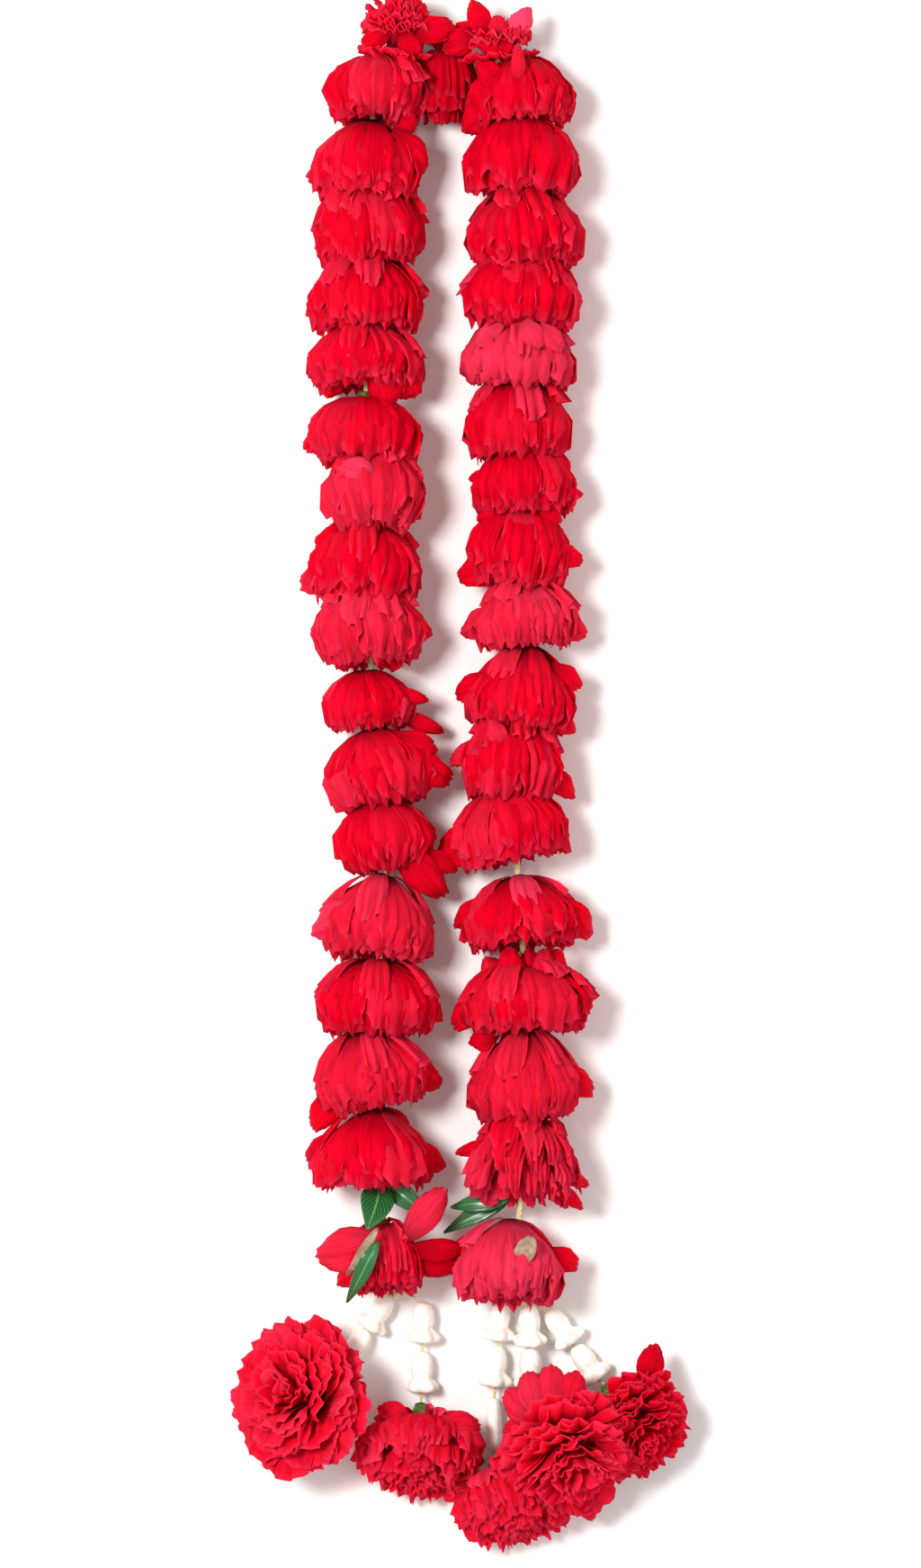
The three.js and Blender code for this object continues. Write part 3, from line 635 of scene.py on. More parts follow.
def star_rows(radius, reach):
    """The rows of a bloom that has opened wide, with narrow pointed petals of uneven length."""
    rows = threaded_rows(radius, reach, 6, STAR_OUTLINE)
    for row in rows[1:]:
        foot, shoulder, hip, (out, ahead) = row["path"]
        row.update(path=[foot, shoulder, (0.84 * hip[0], hip[1]), (1.05 * out, ahead)])
        # A little pink on the pointed petals, partly a painted highlight.
        row.update(taper=0.55, curl=4.0, pink=0.14, uneven=0.1)
    return rows


print("petals in a threaded bloom:", sum(row[0] for row in THREADED_OUTLINE), "and its frills")

# %% [markdown]
# No two blooms sit alike, so each has notes, read from the outline of the real lei. In millimetres: how far
# the petals `slip` down the cord and go `aside`, how `long` they are, and how `wide` they go out from it.
# As shares: how far down the shoulders start (`lower`), how far out the `rim` stays, and how far the bloom
# turns its `face` up or `swing`s sideways. Then its `frills` on the dome, how pink it is, which is partly its
# own pink and partly a painted highlight, and whether it has opened like a `star`.

# %% Notes on the threaded blooms
BLOOM_NOTES = {
    "left": {
        2: dict(slip=1, long=33, frills=1, lower=0.04, rim=0.66, aside=1),
        3: dict(slip=8, long=41, frills=0, lower=0.14),
        4: dict(frills=6, lower=0.1, aside=-1.2, rim=0.78),
        5: dict(frills=5, lower=0.16, aside=-1.6),
        6: dict(long=35.5, lower=0.18),
        7: dict(lower=0.02, slip=7.5, long=33, wide=26.5, aside=-1, rim=0.74, frills=0),
        8: dict(pink=0.12, frills=6, face=0.2, lower=0.02, wide=24.5, aside=2.2, rim=0.58),
        9: dict(wide=26.8, aside=-1),
        10: dict(pink=0.12, frills=7, slip=1.5, wide=26.8, rim=0.7),
        11: dict(frills=0, slip=11, long=29, wide=22, aside=-2.2, lower=0.1, rim=0.72),
        12: dict(frills=0, slip=4.5, long=39, lower=0.1, aside=-2, rim=0.72, swing=0.1),
        13: dict(frills=1, long=37, wide=24.5, aside=-1.2, rim=0.6, lower=0.14),
        14: dict(pink=0.12, frills=4, slip=3.5, long=42, lower=0.2, wide=27, aside=-1.2, rim=0.8),
        15: dict(frills=5, slip=8, long=37, aside=-0.9, rim=0.72, lower=0.12),
        16: dict(pink=0.08, slip=5, long=39, lower=0.18, wide=27.5, aside=-8.2, swing=0.22, rim=0.74,
            frills=5),
        17: dict(frills=2, slip=6, long=39.5, rim=0.9, wide=28.4, lower=0.2, aside=-1.2),
        18: dict(face=0.3, slip=14, long=34.5, wide=17),
    },
    "right": {
        2: dict(slip=1, long=34, frills=1, lower=0.14),
        3: dict(slip=6, long=40, frills=0, wide=28, aside=1.2),
        4: dict(slip=5, long=41, lower=0.13, aside=0.2, rim=0.74, frills=5),
        5: dict(frills=5, aside=0.6, lower=0.12, rim=0.74),
        6: dict(pink=0.3, long=36, frills=6, lower=0.18, aside=-0.6),
        7: dict(lower=0.12, aside=0.4, rim=0.74, frills=5),
        8: dict(wide=24.5, long=36, frills=1),
        9: dict(wide=24.5, frills=0, lower=0, rim=0.74),
        10: dict(pink=0.15, frills=5, long=36, lower=0.2, wide=25, aside=0.6),
        11: dict(slip=3, lower=0.26, aside=2.2, rim=0.74, frills=5, wide=26.4),
        12: dict(lower=0.12, wide=24.7, aside=-1, rim=0.74, frills=6),
        13: dict(long=38, frills=1, swing=0.16, aside=-6, wide=27.5, rim=0.88),
        14: dict(frills=5, slip=9.7, long=35, lower=0.2, wide=27.2, rim=0.84),
        15: dict(frills=6, slip=13, long=34, rim=0.8, aside=1),
        16: dict(pink=0.1, slip=4, long=46, lower=0.25, wide=27.5, rim=0.74, swing=0, aside=-0.8, frills=5),
        17: dict(star=True, face=0.2, slip=13, long=38.5, wide=26),
        18: dict(pink=0.3, frills=2, face=0.3, slip=7, long=41, wide=25.5, aside=-3.5, lower=0.2),
    },
}
# Petals that leave their bloom: foot x, y, z, tip x, y, z, half width and pinkness, which is partly a painted
# highlight and below zero painted shade.
STRAYS = {
    "left": {
        3: [(-47, 294, 34, -71, 278, 26, 8, 0), (-33, 298, 38, -17.5, 280, 27, 11, 0),
            (-30, 308, 36, -21, 301, 30, 6, 0)],
        6: [(-36, 190, 38, -34, 172, 36, 9, 0), (-30, 190, 34, -20.5, 177, 28, 10, 0),
            (-57, 188, 30, -63, 177, 26, 6, 0)],
        7: [(-56, 166, 34, -73, 152, 24, 7, 0)],
        8: [(-40, 140, 50, -56, 143, 47, 7, 0.45)],
        9: [(-48, 100, 34, -75, 88, 26, 10, 0.1), (-52, 112, 34, -68, 108, 30, 7, 0)],
        10: [(-34, 76, 40, -14, 65, 30, 8, 0.05)],
        11: [(-52, 50, 34, -55, 58, 30, 6, 0), (-34, 50, 34, -31, 57, 30, 6, 0),
            (-34, 39, 32, -15, 35.5, 26, 4, 0), (-30, 29, 24, -8, 21, 16, 4.5, 0)],
        12: [(-28, 8, 36, -4, -2, 24, 9, 0), (-30, 18, 38, -11, 12, 28, 7, 0)],
        13: [(-30, -33, 36, -7, -56, 22, 9, 0), (-18, -36, 30, -2, -44, 20, 6, 0)],
        14: [(-47, -62, 44, -68, -74, 30, 11, 0.35)],
        15: [(-24, -98, 34, -9, -114, 24, 6, 0)],
        16: [(-28, -134, 34, -9, -145, 22, 8, 0), (-44, -138, 44, -46, -156, 40, 9, 0.1),
            (-56, -146, 34, -69, -165, 24, 8, 0)],
        17: [(-54, -168, 32, -72, -181, 20, 8, 0), (-25, -171, 32, -8, -184, 20, 7, 0)],
        18: [(-36, -216, 40, -67, -225, 28, 12, 0.2), (-25, -214, 42, -7, -191, 42, 8, 0.25),
            (-24, -220, 36, 3, -221, 28, 6, -0.3), (-26, -227, 32, 2, -229, 24, 6, -0.4),
            (-38, -224, 34, -57, -237, 20, 9, 0)],
    },
    "right": {
        2: [(27, 320, 44, 26.5, 339, 47, 3.5, 0.1), (38, 318, 36, 53, 315, 30, 5, 0.1),
            (14, 314, 34, 2, 300, 26, 8, 0), (19, 320, 40, 8, 333, 34, 6, 0)],
        6: [(29, 210, 52, 37, 198, 51, 6, 0.35), (36, 208, 50, 47, 197, 44, 6, 0.3)],
        8: [(42, 134, 34, 57, 131, 28, 4, 0), (14, 139, 32, 4, 139, 28, 4, 0)],
        9: [(16, 99, 32, -1, 92, 24, 8, 0), (42, 105, 34, 57, 100, 28, 6, 0),
            (36, 124, 38, 47, 119, 32, 6, 0), (20, 124, 36, 8, 119, 30, 6, 0)],
        10: [(18, 76, 32, 1, 66, 24, 8, 0.2), (42, 76, 32, 58, 65, 24, 8, 0.1)],
        11: [(40, 32, 34, 53, 20, 26, 6, 0), (14, 46, 32, -2, 37, 24, 7, 0), (42, 50, 34, 56, 41, 26, 7, 0)],
        12: [(14, 16, 32, -5, 6, 24, 6, 0.15), (20, 14, 44, 14, 26, 44, 5, 0.2),
            (40, 4, 30, 53, -10, 22, 6, 0)],
        13: [(14, -26, 28, -11, -39, 18, 11, 0)],
        14: [(44, -58, 32, 61, -75, 22, 9, 0), (12, -58, 32, -2, -71, 22, 7, 0)],
        15: [(20, -100, 36, 12, -84, 32, 7, 0.1), (25, -100, 42, 22, -79, 38, 7, 0),
            (33, -100, 36, 32, -80, 30, 6, 0), (38, -100, 42, 39, -80, 36, 6, 0.1),
            (42, -100, 34, 45, -80, 30, 7, 0), (12, -102, 32, -3, -118, 24, 8, 0),
            (44, -94, 34, 61, -108, 22, 10, 0)],
        16: [(42, -136, 34, 62, -148, 24, 8, 0), (16, -122, 36, 4, -124, 28, 6, 0)],
        17: [(42, -182, 36, 60, -191, 26, 4, 0), (42, -188, 34, 57, -202, 26, 4, 0),
            (18, -170, 36, -2, -176, 26, 4, 0)],
        18: [(12, -216, 34, -4, -222, 24, 6, 0.1), (40, -222, 34, 55, -229, 24, 7, 0)],
    },
}
print("blooms with notes:", sum(map(len, BLOOM_NOTES.values())))
print("blooms with stray petals:", sum(map(len, STRAYS.values())))

# %% [markdown]
# Now each bloom is made where the cord enters it, first its petals and then the calyx that holds them.
# Every bloom has its own seed, so changing one leaves the others as they are.

# %% Threaded blooms
OVERHANG = 8.5
SLIP = 2.2
PETALS_TO_RIM = 0.93
FRILLS = 3
LOWER = 0.07
RIM = 0.8
ASIDE = {"left": -0.6, "right": 0.0}
SEEDS = {"left": 100, "right": 200, "top": 11, "throat": 13, "crowns": 300, "tassel": 400}
TURN_SEED = 50
SWING_CHANCE = 0.03
FACE_CHANCE = 0.06
CALYX_RADII = (2.8, 4.6, 5.0)
CALYX_SHARE = 0.2


def turned(heading, face, swing, rng):
    """The heading with the bloom's face turned up by a share, and sideways by another."""
    sideways = swing + rng.uniform(-SWING_CHANCE, SWING_CHANCE)
    return unit(heading) + [sideways, 0, face + rng.uniform(0, FACE_CHANCE)]


def make_threaded_blooms(side, strand, route):
    for i, (_, _, width) in enumerate(strand):
        name = f"{side}_bloom_{i + 2:02d}"
        notes = BLOOM_NOTES[side].get(i + 2, {})
        reach = notes.get("long", np.linalg.norm(route[i + 1] - route[i]) + OVERHANG)
        radius = notes.get("wide", PETALS_TO_RIM * width / 2)
        heading = unit(route[i + 1] - route[i])
        base = route[i] + heading * notes.get("slip", SLIP)
        base[0] += notes.get("aside", ASIDE[side])
        if notes.get("star"):
            rows = star_rows(radius, reach)
        else:
            rows = threaded_rows(radius, reach, notes.get("frills", FRILLS), lower=notes.get("lower", LOWER),
                                 rim=notes.get("rim", RIM))
        seed = SEEDS[side] + i
        chance = random.Random(seed + TURN_SEED)
        towards = turned(heading, notes.get("face", 0), notes.get("swing", 0), chance)
        cup = base + heading * reach * notes.get("lower", PLAIN_LOWER)
        make_bloom(name, rows, base, towards, seed, notes.get("pink", 0), STRAYS[side].get(i + 2, ()),
                   (CALYX_RADII, CALYX_SHARE * reach, cup, heading))


make_threaded_blooms("left", LEFT_STRAND, LEFT_ROUTE)
make_threaded_blooms("right", RIGHT_STRAND, RIGHT_ROUTE)
print("threaded blooms:", len(LEFT_STRAND) + len(RIGHT_STRAND))

# %% [markdown]
# The full blooms keep all their petals. Rings of them would show as circles, so there are many small rows
# of three petals instead, each turned by chance: they crowd towards the middle and stand ever steeper, and
# a domed face of frilled rims is what shows.

# %% Rows of a full bloom
# Along the rows: how far out and ahead the tips are, and half a petal's width.
FULL_ROWS = 28
FULL_OUTLINE = {
    "share": [0, 0.28, 0.45, 0.6, 0.72, 0.83, 0.92, 1],
    "out": [1.0, 0.97, 0.89, 0.78, 0.66, 0.52, 0.37, 0.2],
    "ahead": [0.34, 0.52, 0.66, 0.78, 0.87, 0.94, 0.99, 1.02],
    "half": [0.34, 0.33, 0.31, 0.29, 0.27, 0.24, 0.21, 0.17],
}


def full_rows(radius, calyx):
    """The rows of a full bloom of this radius, whose petals start at the calyx's length."""
    rows = []
    for share in np.linspace(0, 1, FULL_ROWS):
        out, ahead, half = (
            np.interp(share, FULL_OUTLINE["share"], FULL_OUTLINE[key]) for key in ("out", "ahead", "half")
        )
        rows.append({
            "count": 3,
            "path": [(4.4 - 3 * share, calyx - 1),
                     (0.3 * out * radius, calyx + 0.5 * ahead * radius),
                     (0.74 * out * radius, calyx + 1.0 * ahead * radius),
                     (out * radius, calyx + (ahead - 0.04 * out) * radius)],
            "half": half * radius, "ruffle": 1.4, "curl": 4.0, "twist": 0.35, "uneven": 0.1,
        })
    return rows


print("petals in a full bloom:", sum(row["count"] for row in full_rows(1, 0)))

# %% [markdown]
# The two topmost blooms look away from the strands and close the loop. They are small full blooms, and a
# skirt of eight petals bends back round each. Their calyxes would be hidden inside, so only the petals are
# made.

# %% Topmost blooms
# Each stray ends in its tint: pink that is partly a painted highlight, and below zero painted shade.
TOP_BLOOMS = {
    "left_bloom_01": {
        "base": (-30.0, 342.0, 23.6), "towards": (0.14, 1, 0.1), "radius": 17.5, "ahead": 1.1,
        "strays": [
            (-22, 344, 34, -3, 351, 30, 7, 0), (-27, 350, 34, -17, 361, 28, 7, 0),
                (-33, 348, 32, -46, 341, 26, 6, 0), (-26, 348, 34, -20, 335, 30, 7, 0),
        ],
    },
    "right_bloom_01": {
        "base": (17.0, 341.0, 23.6), "towards": (-0.1, 1, 0.1), "radius": 17.0, "ahead": 0.5,
        "strays": [
            (12, 344, 32, 5.5, 362, 28, 6, 0), (24, 344, 34, 32, 358, 30, 6, 0.75),
                (10, 344, 28, -3, 350, 24, 7, 0), (18, 344, 36, 17, 354, 34, 5, 0.1),
                (17, 346, 34, 16, 334, 34, 9, 0), (8, 346, 32, -8, 338, 28, 7, -0.2),
        ],
    },
}
TOP_CALYX = 0.5

for i, (name, bloom) in enumerate(TOP_BLOOMS.items()):
    radius = bloom["radius"]
    rows = full_rows(radius, TOP_CALYX)
    for row in rows:
        row["path"] = [(out, ahead * bloom["ahead"]) for out, ahead in row["path"]]
    rows.insert(0, {
        "count": 8, "path": [(2, 1), (0.5 * radius, -6), (0.9 * radius, -8), (1.02 * radius, -3)],
        "half": 0.42 * radius, "ruffle": 1.6,
    })
    make_bloom(name, rows, bloom["base"], bloom["towards"], SEEDS["top"] + i, strays=bloom["strays"])
print("topmost blooms:", len(TOP_BLOOMS))

# %% [markdown]
# Each of the tassel's five threads leaves a knot, carries its crown flowers at the given distances, and
# goes into the calyx of a bloom. The petals are turned and shifted to where they show on the real lei, so
# the calyx leads from the thread's end to their feet. Three of the blooms are full, and two hang open.

# %% Blooms of the tassel
TASSEL = {
    "a": {"knot": "left", "points": [(-32.8, -242.6, 7.6), (-54.7, -277.2, 7.6)],
          "towards": (-0.84, -0.54, 0.8), "crowns": [1.2, 20.8]},
    "b": {"knot": "left", "points": [(-17.4, -245.4, 7.6), (-18.5, -291.4, 7.6)],
          "towards": (-0.06, -1, 0.72), "crowns": [1.6, 24.8]},
    "c": {"knot": "right", "points": [(18.9, -244.6, 7.6), (15.6, -291, 7.6), (15.6, -318.5, 7.6)],
          "towards": (-0.04, -1, 0.7), "crowns": [1.4, 23]},
    "d": {"knot": "right", "points": [(31.9, -246.6, 14.6), (33, -289.2, 11.3)],
          "towards": (0.5, -0.8, 0.95), "crowns": [1.4, 21.6]},
    "e": {"knot": "right", "points": [(40.4, -249.8, 7.6), (65.5, -284.2, 7.6)],
          "towards": (1, -0.28, 0.8), "crowns": [1.4, 22.4]},
}
# The way each bloom faces, its sizes, and how far its petals are shifted from where the thread ends.
TASSEL_BLOOMS = {
    "a": {"face": (-0.8, 0.26, 1), "radius": 37.8, "calyx": 12, "shift": (-0.2, -14.5, 1), "pink": 0.05},
    "b": {"face": (-0.02, -1, 0.6), "radius": 29.5, "calyx": 10, "shift": (0, -6, 3), "pink": 0.05,
          "hangs": 28},
    "c": {"face": (0.3, -1, 0.5), "radius": 29, "calyx": 12, "shift": (6.2, -2.5, 3), "pink": 0.08,
          "hangs": 27},
    "d": {"face": (0.5, -0.8, 1.1), "radius": 35.5, "calyx": 11, "shift": (8, -7, 3), "pink": 0.05},
    # Bloom e's tint below zero is painted shade; the other blooms' pink is partly a painted highlight.
    "e": {"face": (1, -0.8, 1.1), "radius": 29, "calyx": 10, "shift": (0, -5.5, 1), "pink": -0.25},
}
# A stray's last number is its tint: partly a painted highlight, and below zero painted shade.
TASSEL_STRAYS = {
    "b": [(-24, -301, 34, -38, -294, 26, 7, 0.05), (-12, -302, 36, 9, -303, 28, 8, 0.1),
        (-6, -308, 34, 11, -315, 28, 10, 0.1)],
    "c": [(6, -330, 20, -8, -338, 14, 8, 0.1)],
    "d": [(36, -306, 34, 20, -304, 28, 8, 0.1), (36, -300, 34, 21, -286, 30, 9, 0.25),
        (38, -298, 36, 31, -277, 32, 9, 0.3), (43, -298, 36, 42, -274, 32, 9, 0.2),
        (48, -298, 36, 54, -277, 32, 9, 0.1), (54, -318, 36, 67, -336, 22, 10, 0),
        (50, -322, 36, 62, -347, 20, 11, 0), (40, -322, 36, 46, -350, 20, 11, 0)],
    "e": [(86, -284, 30, 91, -265, 26, 7, -0.5)],
}
THREAD_NECK = 4
HANGING_FRILLS = 6
FULL_CALYX_RADII = (2.8, 5.6, 5.8)


def socket(letter):
    """Where a thread enters the calyx of its bloom, and the way it goes on inside."""
    points = [np.array(p) for p in TASSEL[letter]["points"]]
    towards = unit(TASSEL[letter]["towards"])
    between = unit(unit(points[-1] - points[-2]) + towards)
    return points[-1] + THREAD_NECK * between, towards


for i, (letter, bloom) in enumerate(TASSEL_BLOOMS.items()):
    if "hangs" in bloom:
        rows = threaded_rows(bloom["radius"], bloom["hangs"], HANGING_FRILLS, HANGING_OUTLINE)
    else:
        rows = full_rows(bloom["radius"], bloom["calyx"])
    base, _ = socket(letter)
    start = base + bloom["shift"]
    stalk = start + bloom["calyx"] * unit(bloom["face"]) - base
    make_bloom(f"tassel_bloom_{letter}", rows, start, bloom["face"], SEEDS["tassel"] + i, bloom["pink"],
               TASSEL_STRAYS.get(letter, ()), (FULL_CALYX_RADII, np.linalg.norm(stalk), base, stalk))
print("tassel blooms:", len(TASSEL_BLOOMS))

# %% [markdown]
# In the dark throat between the strands hangs a small bloom that has only half opened. Its four rows follow
# no other bloom, so they are written out: the outer one bends back, and the inner ones stay close round the
# axis. A tint below zero gives them the shade of petals deep in the lei.

# %% Half-open bloom in the throat
THROAT_TIP = (-6.5, 339.8, 16.8)
THROAT_FACE = (-0.05, -1, -0.12)
# Painted shade, as of petals deep in the lei.
THROAT_PAINTED_SHADE = -0.45
THROAT_CALYX = ((2.4, 4.4, 4.6), 11, THROAT_TIP, THROAT_FACE)
THROAT_ROWS = [
    {"count": 9, "path": [(2.4, 2), (8, -4), (15, -8), (15, -4)], "half": 7, "ruffle": 1.2, "curl": 1.0},
    {"count": 9, "path": [(2.6, 1), (9, -4), (16.5, 8), (14, 22.5)], "half": 7.5, "ruffle": 1.3, "curl": 1.0},
    {"count": 8, "path": [(3.6, 8), (8, 9), (15, 19), (12.5, 29.5)], "half": 7, "ruffle": 1.3, "curl": 1.0},
    {"count": 6, "path": [(2.4, 10), (5, 16), (9, 24), (7.5, 33.5)], "half": 5, "ruffle": 1.1, "curl": 0.8},
]

make_bloom("throat_bloom", THROAT_ROWS, THROAT_TIP, THROAT_FACE, SEEDS["throat"], THROAT_PAINTED_SHADE,
           calyx=THROAT_CALYX)
print("petals in the throat bloom:", sum(row["count"] for row in THROAT_ROWS))

# %% [markdown]
# A crown flower is thick and waxy: nearly white with a faint cream mottle, softly glossy, and glowing
# where light goes into its lobes. That is the mottled recipe again, with light under the surface.

# %% Crown flower finish
WAX_MOTTLE = 2.5
WAX_TONES = [(0.3, 0xF1EAD2), (0.6, 0xFDFCF6)]
CROWN = mottled_finish("crown flower, thick and waxy", WAX_MOTTLE, WAX_TONES, (0.12, 0.15), Roughness=0.38,
                       IOR=1.45, Subsurface_Weight=0.12, Subsurface_Radius=(0.9, 0.8, 0.6),
                       Subsurface_Scale=2 * MM)
print("material:", CROWN.name)

# %% [markdown]
# Its shape is a smooth bullet that flares out into five rounded lobes. The long edges of a cylinder are cut
# into rings, each ring gets its own place and radius, the five-sided swelling is put in by formula, and one
# level of subdivision rounds it all. One crown is made, and each place gets its own copy.

# %% Shapes made of rings
CROWN_SIZE = {"length": 19.5, "radius": 7.6}
CROWN_SIDES = 30
# Each ring: its radius and its place along the flower, as shares, and how strongly its five lobes show.
CROWN_RINGS = [
    (0.16, 0, 0), (0.34, 0.02, 0), (0.52, 0.09, 0.05), (0.64, 0.22, 0.1), (0.7, 0.38, 0.12),
    (0.68, 0.52, 0.12), (0.58, 0.62, 0.1), (0.66, 0.69, 0.2), (0.92, 0.76, 0.34), (1.02, 0.86, 0.42),
    (0.9, 0.97, 0.46), (0.55, 1, 0.3), (0.28, 0.94, 0),
]
LOBE_MIDDLE = 0.6


def ringed_shape(name, rings, length, radius):
    """A cylinder with its long edges cut into rings that are put in place, in millimetres along +Z."""
    bpy.ops.object.select_all(action="DESELECT")
    bpy.ops.mesh.primitive_cylinder_add(vertices=CROWN_SIDES, radius=1, depth=2, end_fill_type="NGON")
    piece = bpy.context.object
    bpy.ops.object.mode_set(mode="EDIT")
    bpy.ops.mesh.select_mode(type="EDGE")
    bpy.ops.mesh.select_all(action="DESELECT")
    bpy.ops.object.mode_set(mode="OBJECT")
    for edge in piece.data.edges:
        low, high = (piece.data.vertices[i].co.z for i in edge.vertices)
        edge.select = abs(low - high) > 1
    bpy.ops.object.mode_set(mode="EDIT")
    bpy.ops.mesh.subdivide(number_cuts=len(rings) - 2)
    bpy.ops.object.mode_set(mode="OBJECT")
    points = points_of(piece)
    ring = np.rint((points[:, 2] + 1) / 2 * (len(rings) - 1)).astype(int)
    size, along, lobed = np.array(rings)[ring].T
    angle = np.arctan2(points[:, 1], points[:, 0])
    r = radius * size * (1 + lobed * (np.abs(np.cos(2.5 * angle)) - LOBE_MIDDLE))
    set_points(piece, np.stack([r * np.cos(angle), r * np.sin(angle), length * along], axis=1))
    dress(piece, name, CROWN)
    smooth = piece.modifiers.new("rounding", "SUBSURF")
    smooth.levels = smooth.render_levels = 1
    complete(piece)
    return piece


def copy_to(pattern, name, base, direction, roll):
    """A copy of a local shape with its own mesh, turned about its axis by `roll` and put in its place."""
    copy = pattern.copy()
    copy.data = pattern.data.copy()
    copy.name = copy.data.name = name
    turn = np.array([[math.cos(roll), math.sin(roll), 0], [-math.sin(roll), math.cos(roll), 0], [0, 0, 1]])
    set_points(copy, place(points_of(copy) / MM @ turn, base, direction))
    bpy.context.scene.collection.objects.link(copy)
    return copy


crown_pattern = ringed_shape("crown_pattern", CROWN_RINGS, **CROWN_SIZE)
print("crown pattern:", len(crown_pattern.data.polygons), "faces")

# %% [markdown]
# The crowns sit on their threads like beads, open end down, each rolled by chance. Low on the middle
# thread hangs a closed bud: the same kind of shape with rings of its own, long and slim, and no lobes.

# %% Crown flowers and bud
BUD_RINGS = [
    (0.4, 0, 0), (0.7, 0.05, 0), (0.86, 0.2, 0.1), (1, 0.5, 0.14), (1, 0.8, 0.14),
    (0.7, 0.96, 0.1), (0.3, 1, 0),
]
BUD_SIZE = {"length": 25, "radius": 4}
BUD_FROM = 47.8


def along_chain(points, distance):
    """The point at a distance along a chain of points, and the chain's direction there."""
    for start, end in zip(points, points[1:]):
        step = np.array(end) - np.array(start)
        length = np.linalg.norm(step)
        if distance <= length or end is points[-1]:
            return np.array(start) + step / length * distance, step / length
        distance -= length


rng = random.Random(SEEDS["crowns"])
crowns = []
for letter, thread in TASSEL.items():
    for i, distance in enumerate(thread["crowns"]):
        base, direction = along_chain(thread["points"], distance)
        name = f"crown_{letter}{i + 1}"
        crowns.append(copy_to(crown_pattern, f"wax_{name}", base, direction, rng.uniform(0, 2 * math.pi)))
        stand_for(crowns[-1], "crown_flower_wax", name)

bud_pattern = ringed_shape("bud_pattern", BUD_RINGS, **BUD_SIZE)
bud = copy_to(bud_pattern, "wax_crown_c3", *along_chain(TASSEL["c"]["points"], BUD_FROM), 0.0)
stand_for(bud, "crown_flower_wax", "crown_c3")
for pattern in (crown_pattern, bud_pattern):
    bpy.data.objects.remove(pattern)
print("crown flowers:", len(crowns), "and one bud")

# %% [markdown]
# The leaves are fresh, dark and glossy, with a pale midrib and fine side veins. The side veins slant, so
# they are stripes of the place along the leaf less the distance from its midrib, both read from the leaf's
# own UV map. The same pattern sinks them a little into the surface, and a clear coat gives the gloss.

# %% Leaf finish
SIDE_VEINS = 9
LEAF_GREEN = linear(0x17592B)
VEIN_GREEN = linear(0x6FB06A)
SUNK_VEINS = (0.5, 0.3)

LEAF, tree, shader = new_material("fresh glossy leaf", Roughness=0.28, IOR=1.45, Coat_Weight=0.3,
                                  Coat_Roughness=0.15)
uv = node(tree, "UVMap", {"uv_map": "leaf"})
parts = node(tree, "SeparateXYZ", links={0: uv})
centred = node(tree, "Math", {"operation": "SUBTRACT", 1: 0.5}, {0: parts.outputs["X"]})
off_rib = node(tree, "Math", {"operation": "ABSOLUTE"}, {0: centred})
slant = node(tree, "Math", {"operation": "SUBTRACT"}, {0: parts.outputs["Y"], 1: off_rib})
count = node(tree, "Math", {"operation": "MULTIPLY", 1: SIDE_VEINS * 2 * math.pi}, {0: slant})
wave = node(tree, "Math", {"operation": "SINE"}, {0: count})
side = node(tree, "MapRange", {"From Min": 0.7, "From Max": 1.0, "To Max": 0.5}, {"Value": wave})
rib = node(tree, "MapRange", {"From Min": 0.05, "From Max": 0.0}, {"Value": off_rib})
vein = node(tree, "Math", {"operation": "MAXIMUM"}, {0: side, 1: rib})
colour = node(tree, "Mix", {"data_type": "RGBA", 6: LEAF_GREEN, 7: VEIN_GREEN}, {0: vein})
cover(tree, shader, colour.outputs[2], vein, *SUNK_VEINS, invert=True)
print("material:", LEAF.name)

# %% [markdown]
# Each leaf starts as a grid that is laid along its bent path, folded a little along the midrib, made wavy
# at its edges and given the thickness of a leaf. Four of them stand for the frame's leaves.

# %% Leaf blades
# Each leaf: the start, the bend and the end of its path, its width, and how steeply its halves are folded.
LEAVES = {
    "leaf_left_upper": ([(-37.6, -190.2, 30.2), (-38, -198, 43), (-43.5, -210, 49.5)], 15, 0.25),
    "leaf_left_inner": ([(-35, -189.8, 29.2), (-27, -193.5, 38), (-15, -205, 34)], 10, 0.3),
    "leaf_right_upper": ([(25.7, -194.2, 28.6), (10, -198, 35), (-5, -201.5, 24)], 9, 0.3),
    "leaf_right_lower": ([(25.7, -194.2, 25.4), (10, -202, 25), (-8.5, -214, 20)], 9, 0.3),
}
LEAF_COLUMNS = 8
LEAF_ROWS = 16
LEAF_THICKNESS = 0.5
LEAF_WAVE = 0.35
WAVE_RADIANS = 9
TIP_WIDTH = 0.3


def make_leaf(name, path, width, fold, material):
    piece = add_grid(LEAF_COLUMNS, LEAF_ROWS)
    grid = points_of(piece)
    across, t = grid[:, 0], 0.02 + 0.96 * (grid[:, 1] + 1) / 2
    start, bend, end = (np.array(p, float) for p in path)
    centre = ((1 - t) ** 2)[:, None] * start + (2 * t * (1 - t))[:, None] * bend + (t**2)[:, None] * end
    heading = unit((2 * (1 - t))[:, None] * (bend - start) + (2 * t)[:, None] * (end - bend))
    side, up = level_axes(heading)
    half = (width / 2) * np.sin(math.pi * t**0.8) + TIP_WIDTH
    lift = fold * half * np.abs(across) + LEAF_WAVE * np.sin(WAVE_RADIANS * t + 2 * across) * np.abs(across)
    set_points(piece, centre + side * (across * half)[:, None] + up * lift[:, None])
    dress(piece, f"blade_{name}", material)
    write_uv(piece, "leaf", across, t)
    thicken(piece, LEAF_THICKNESS)
    return piece


for name, (path, width, fold) in LEAVES.items():
    stand_for(make_leaf(name, path, width, fold, LEAF), "leaf_green", name)
print("leaves:", len(LEAVES))

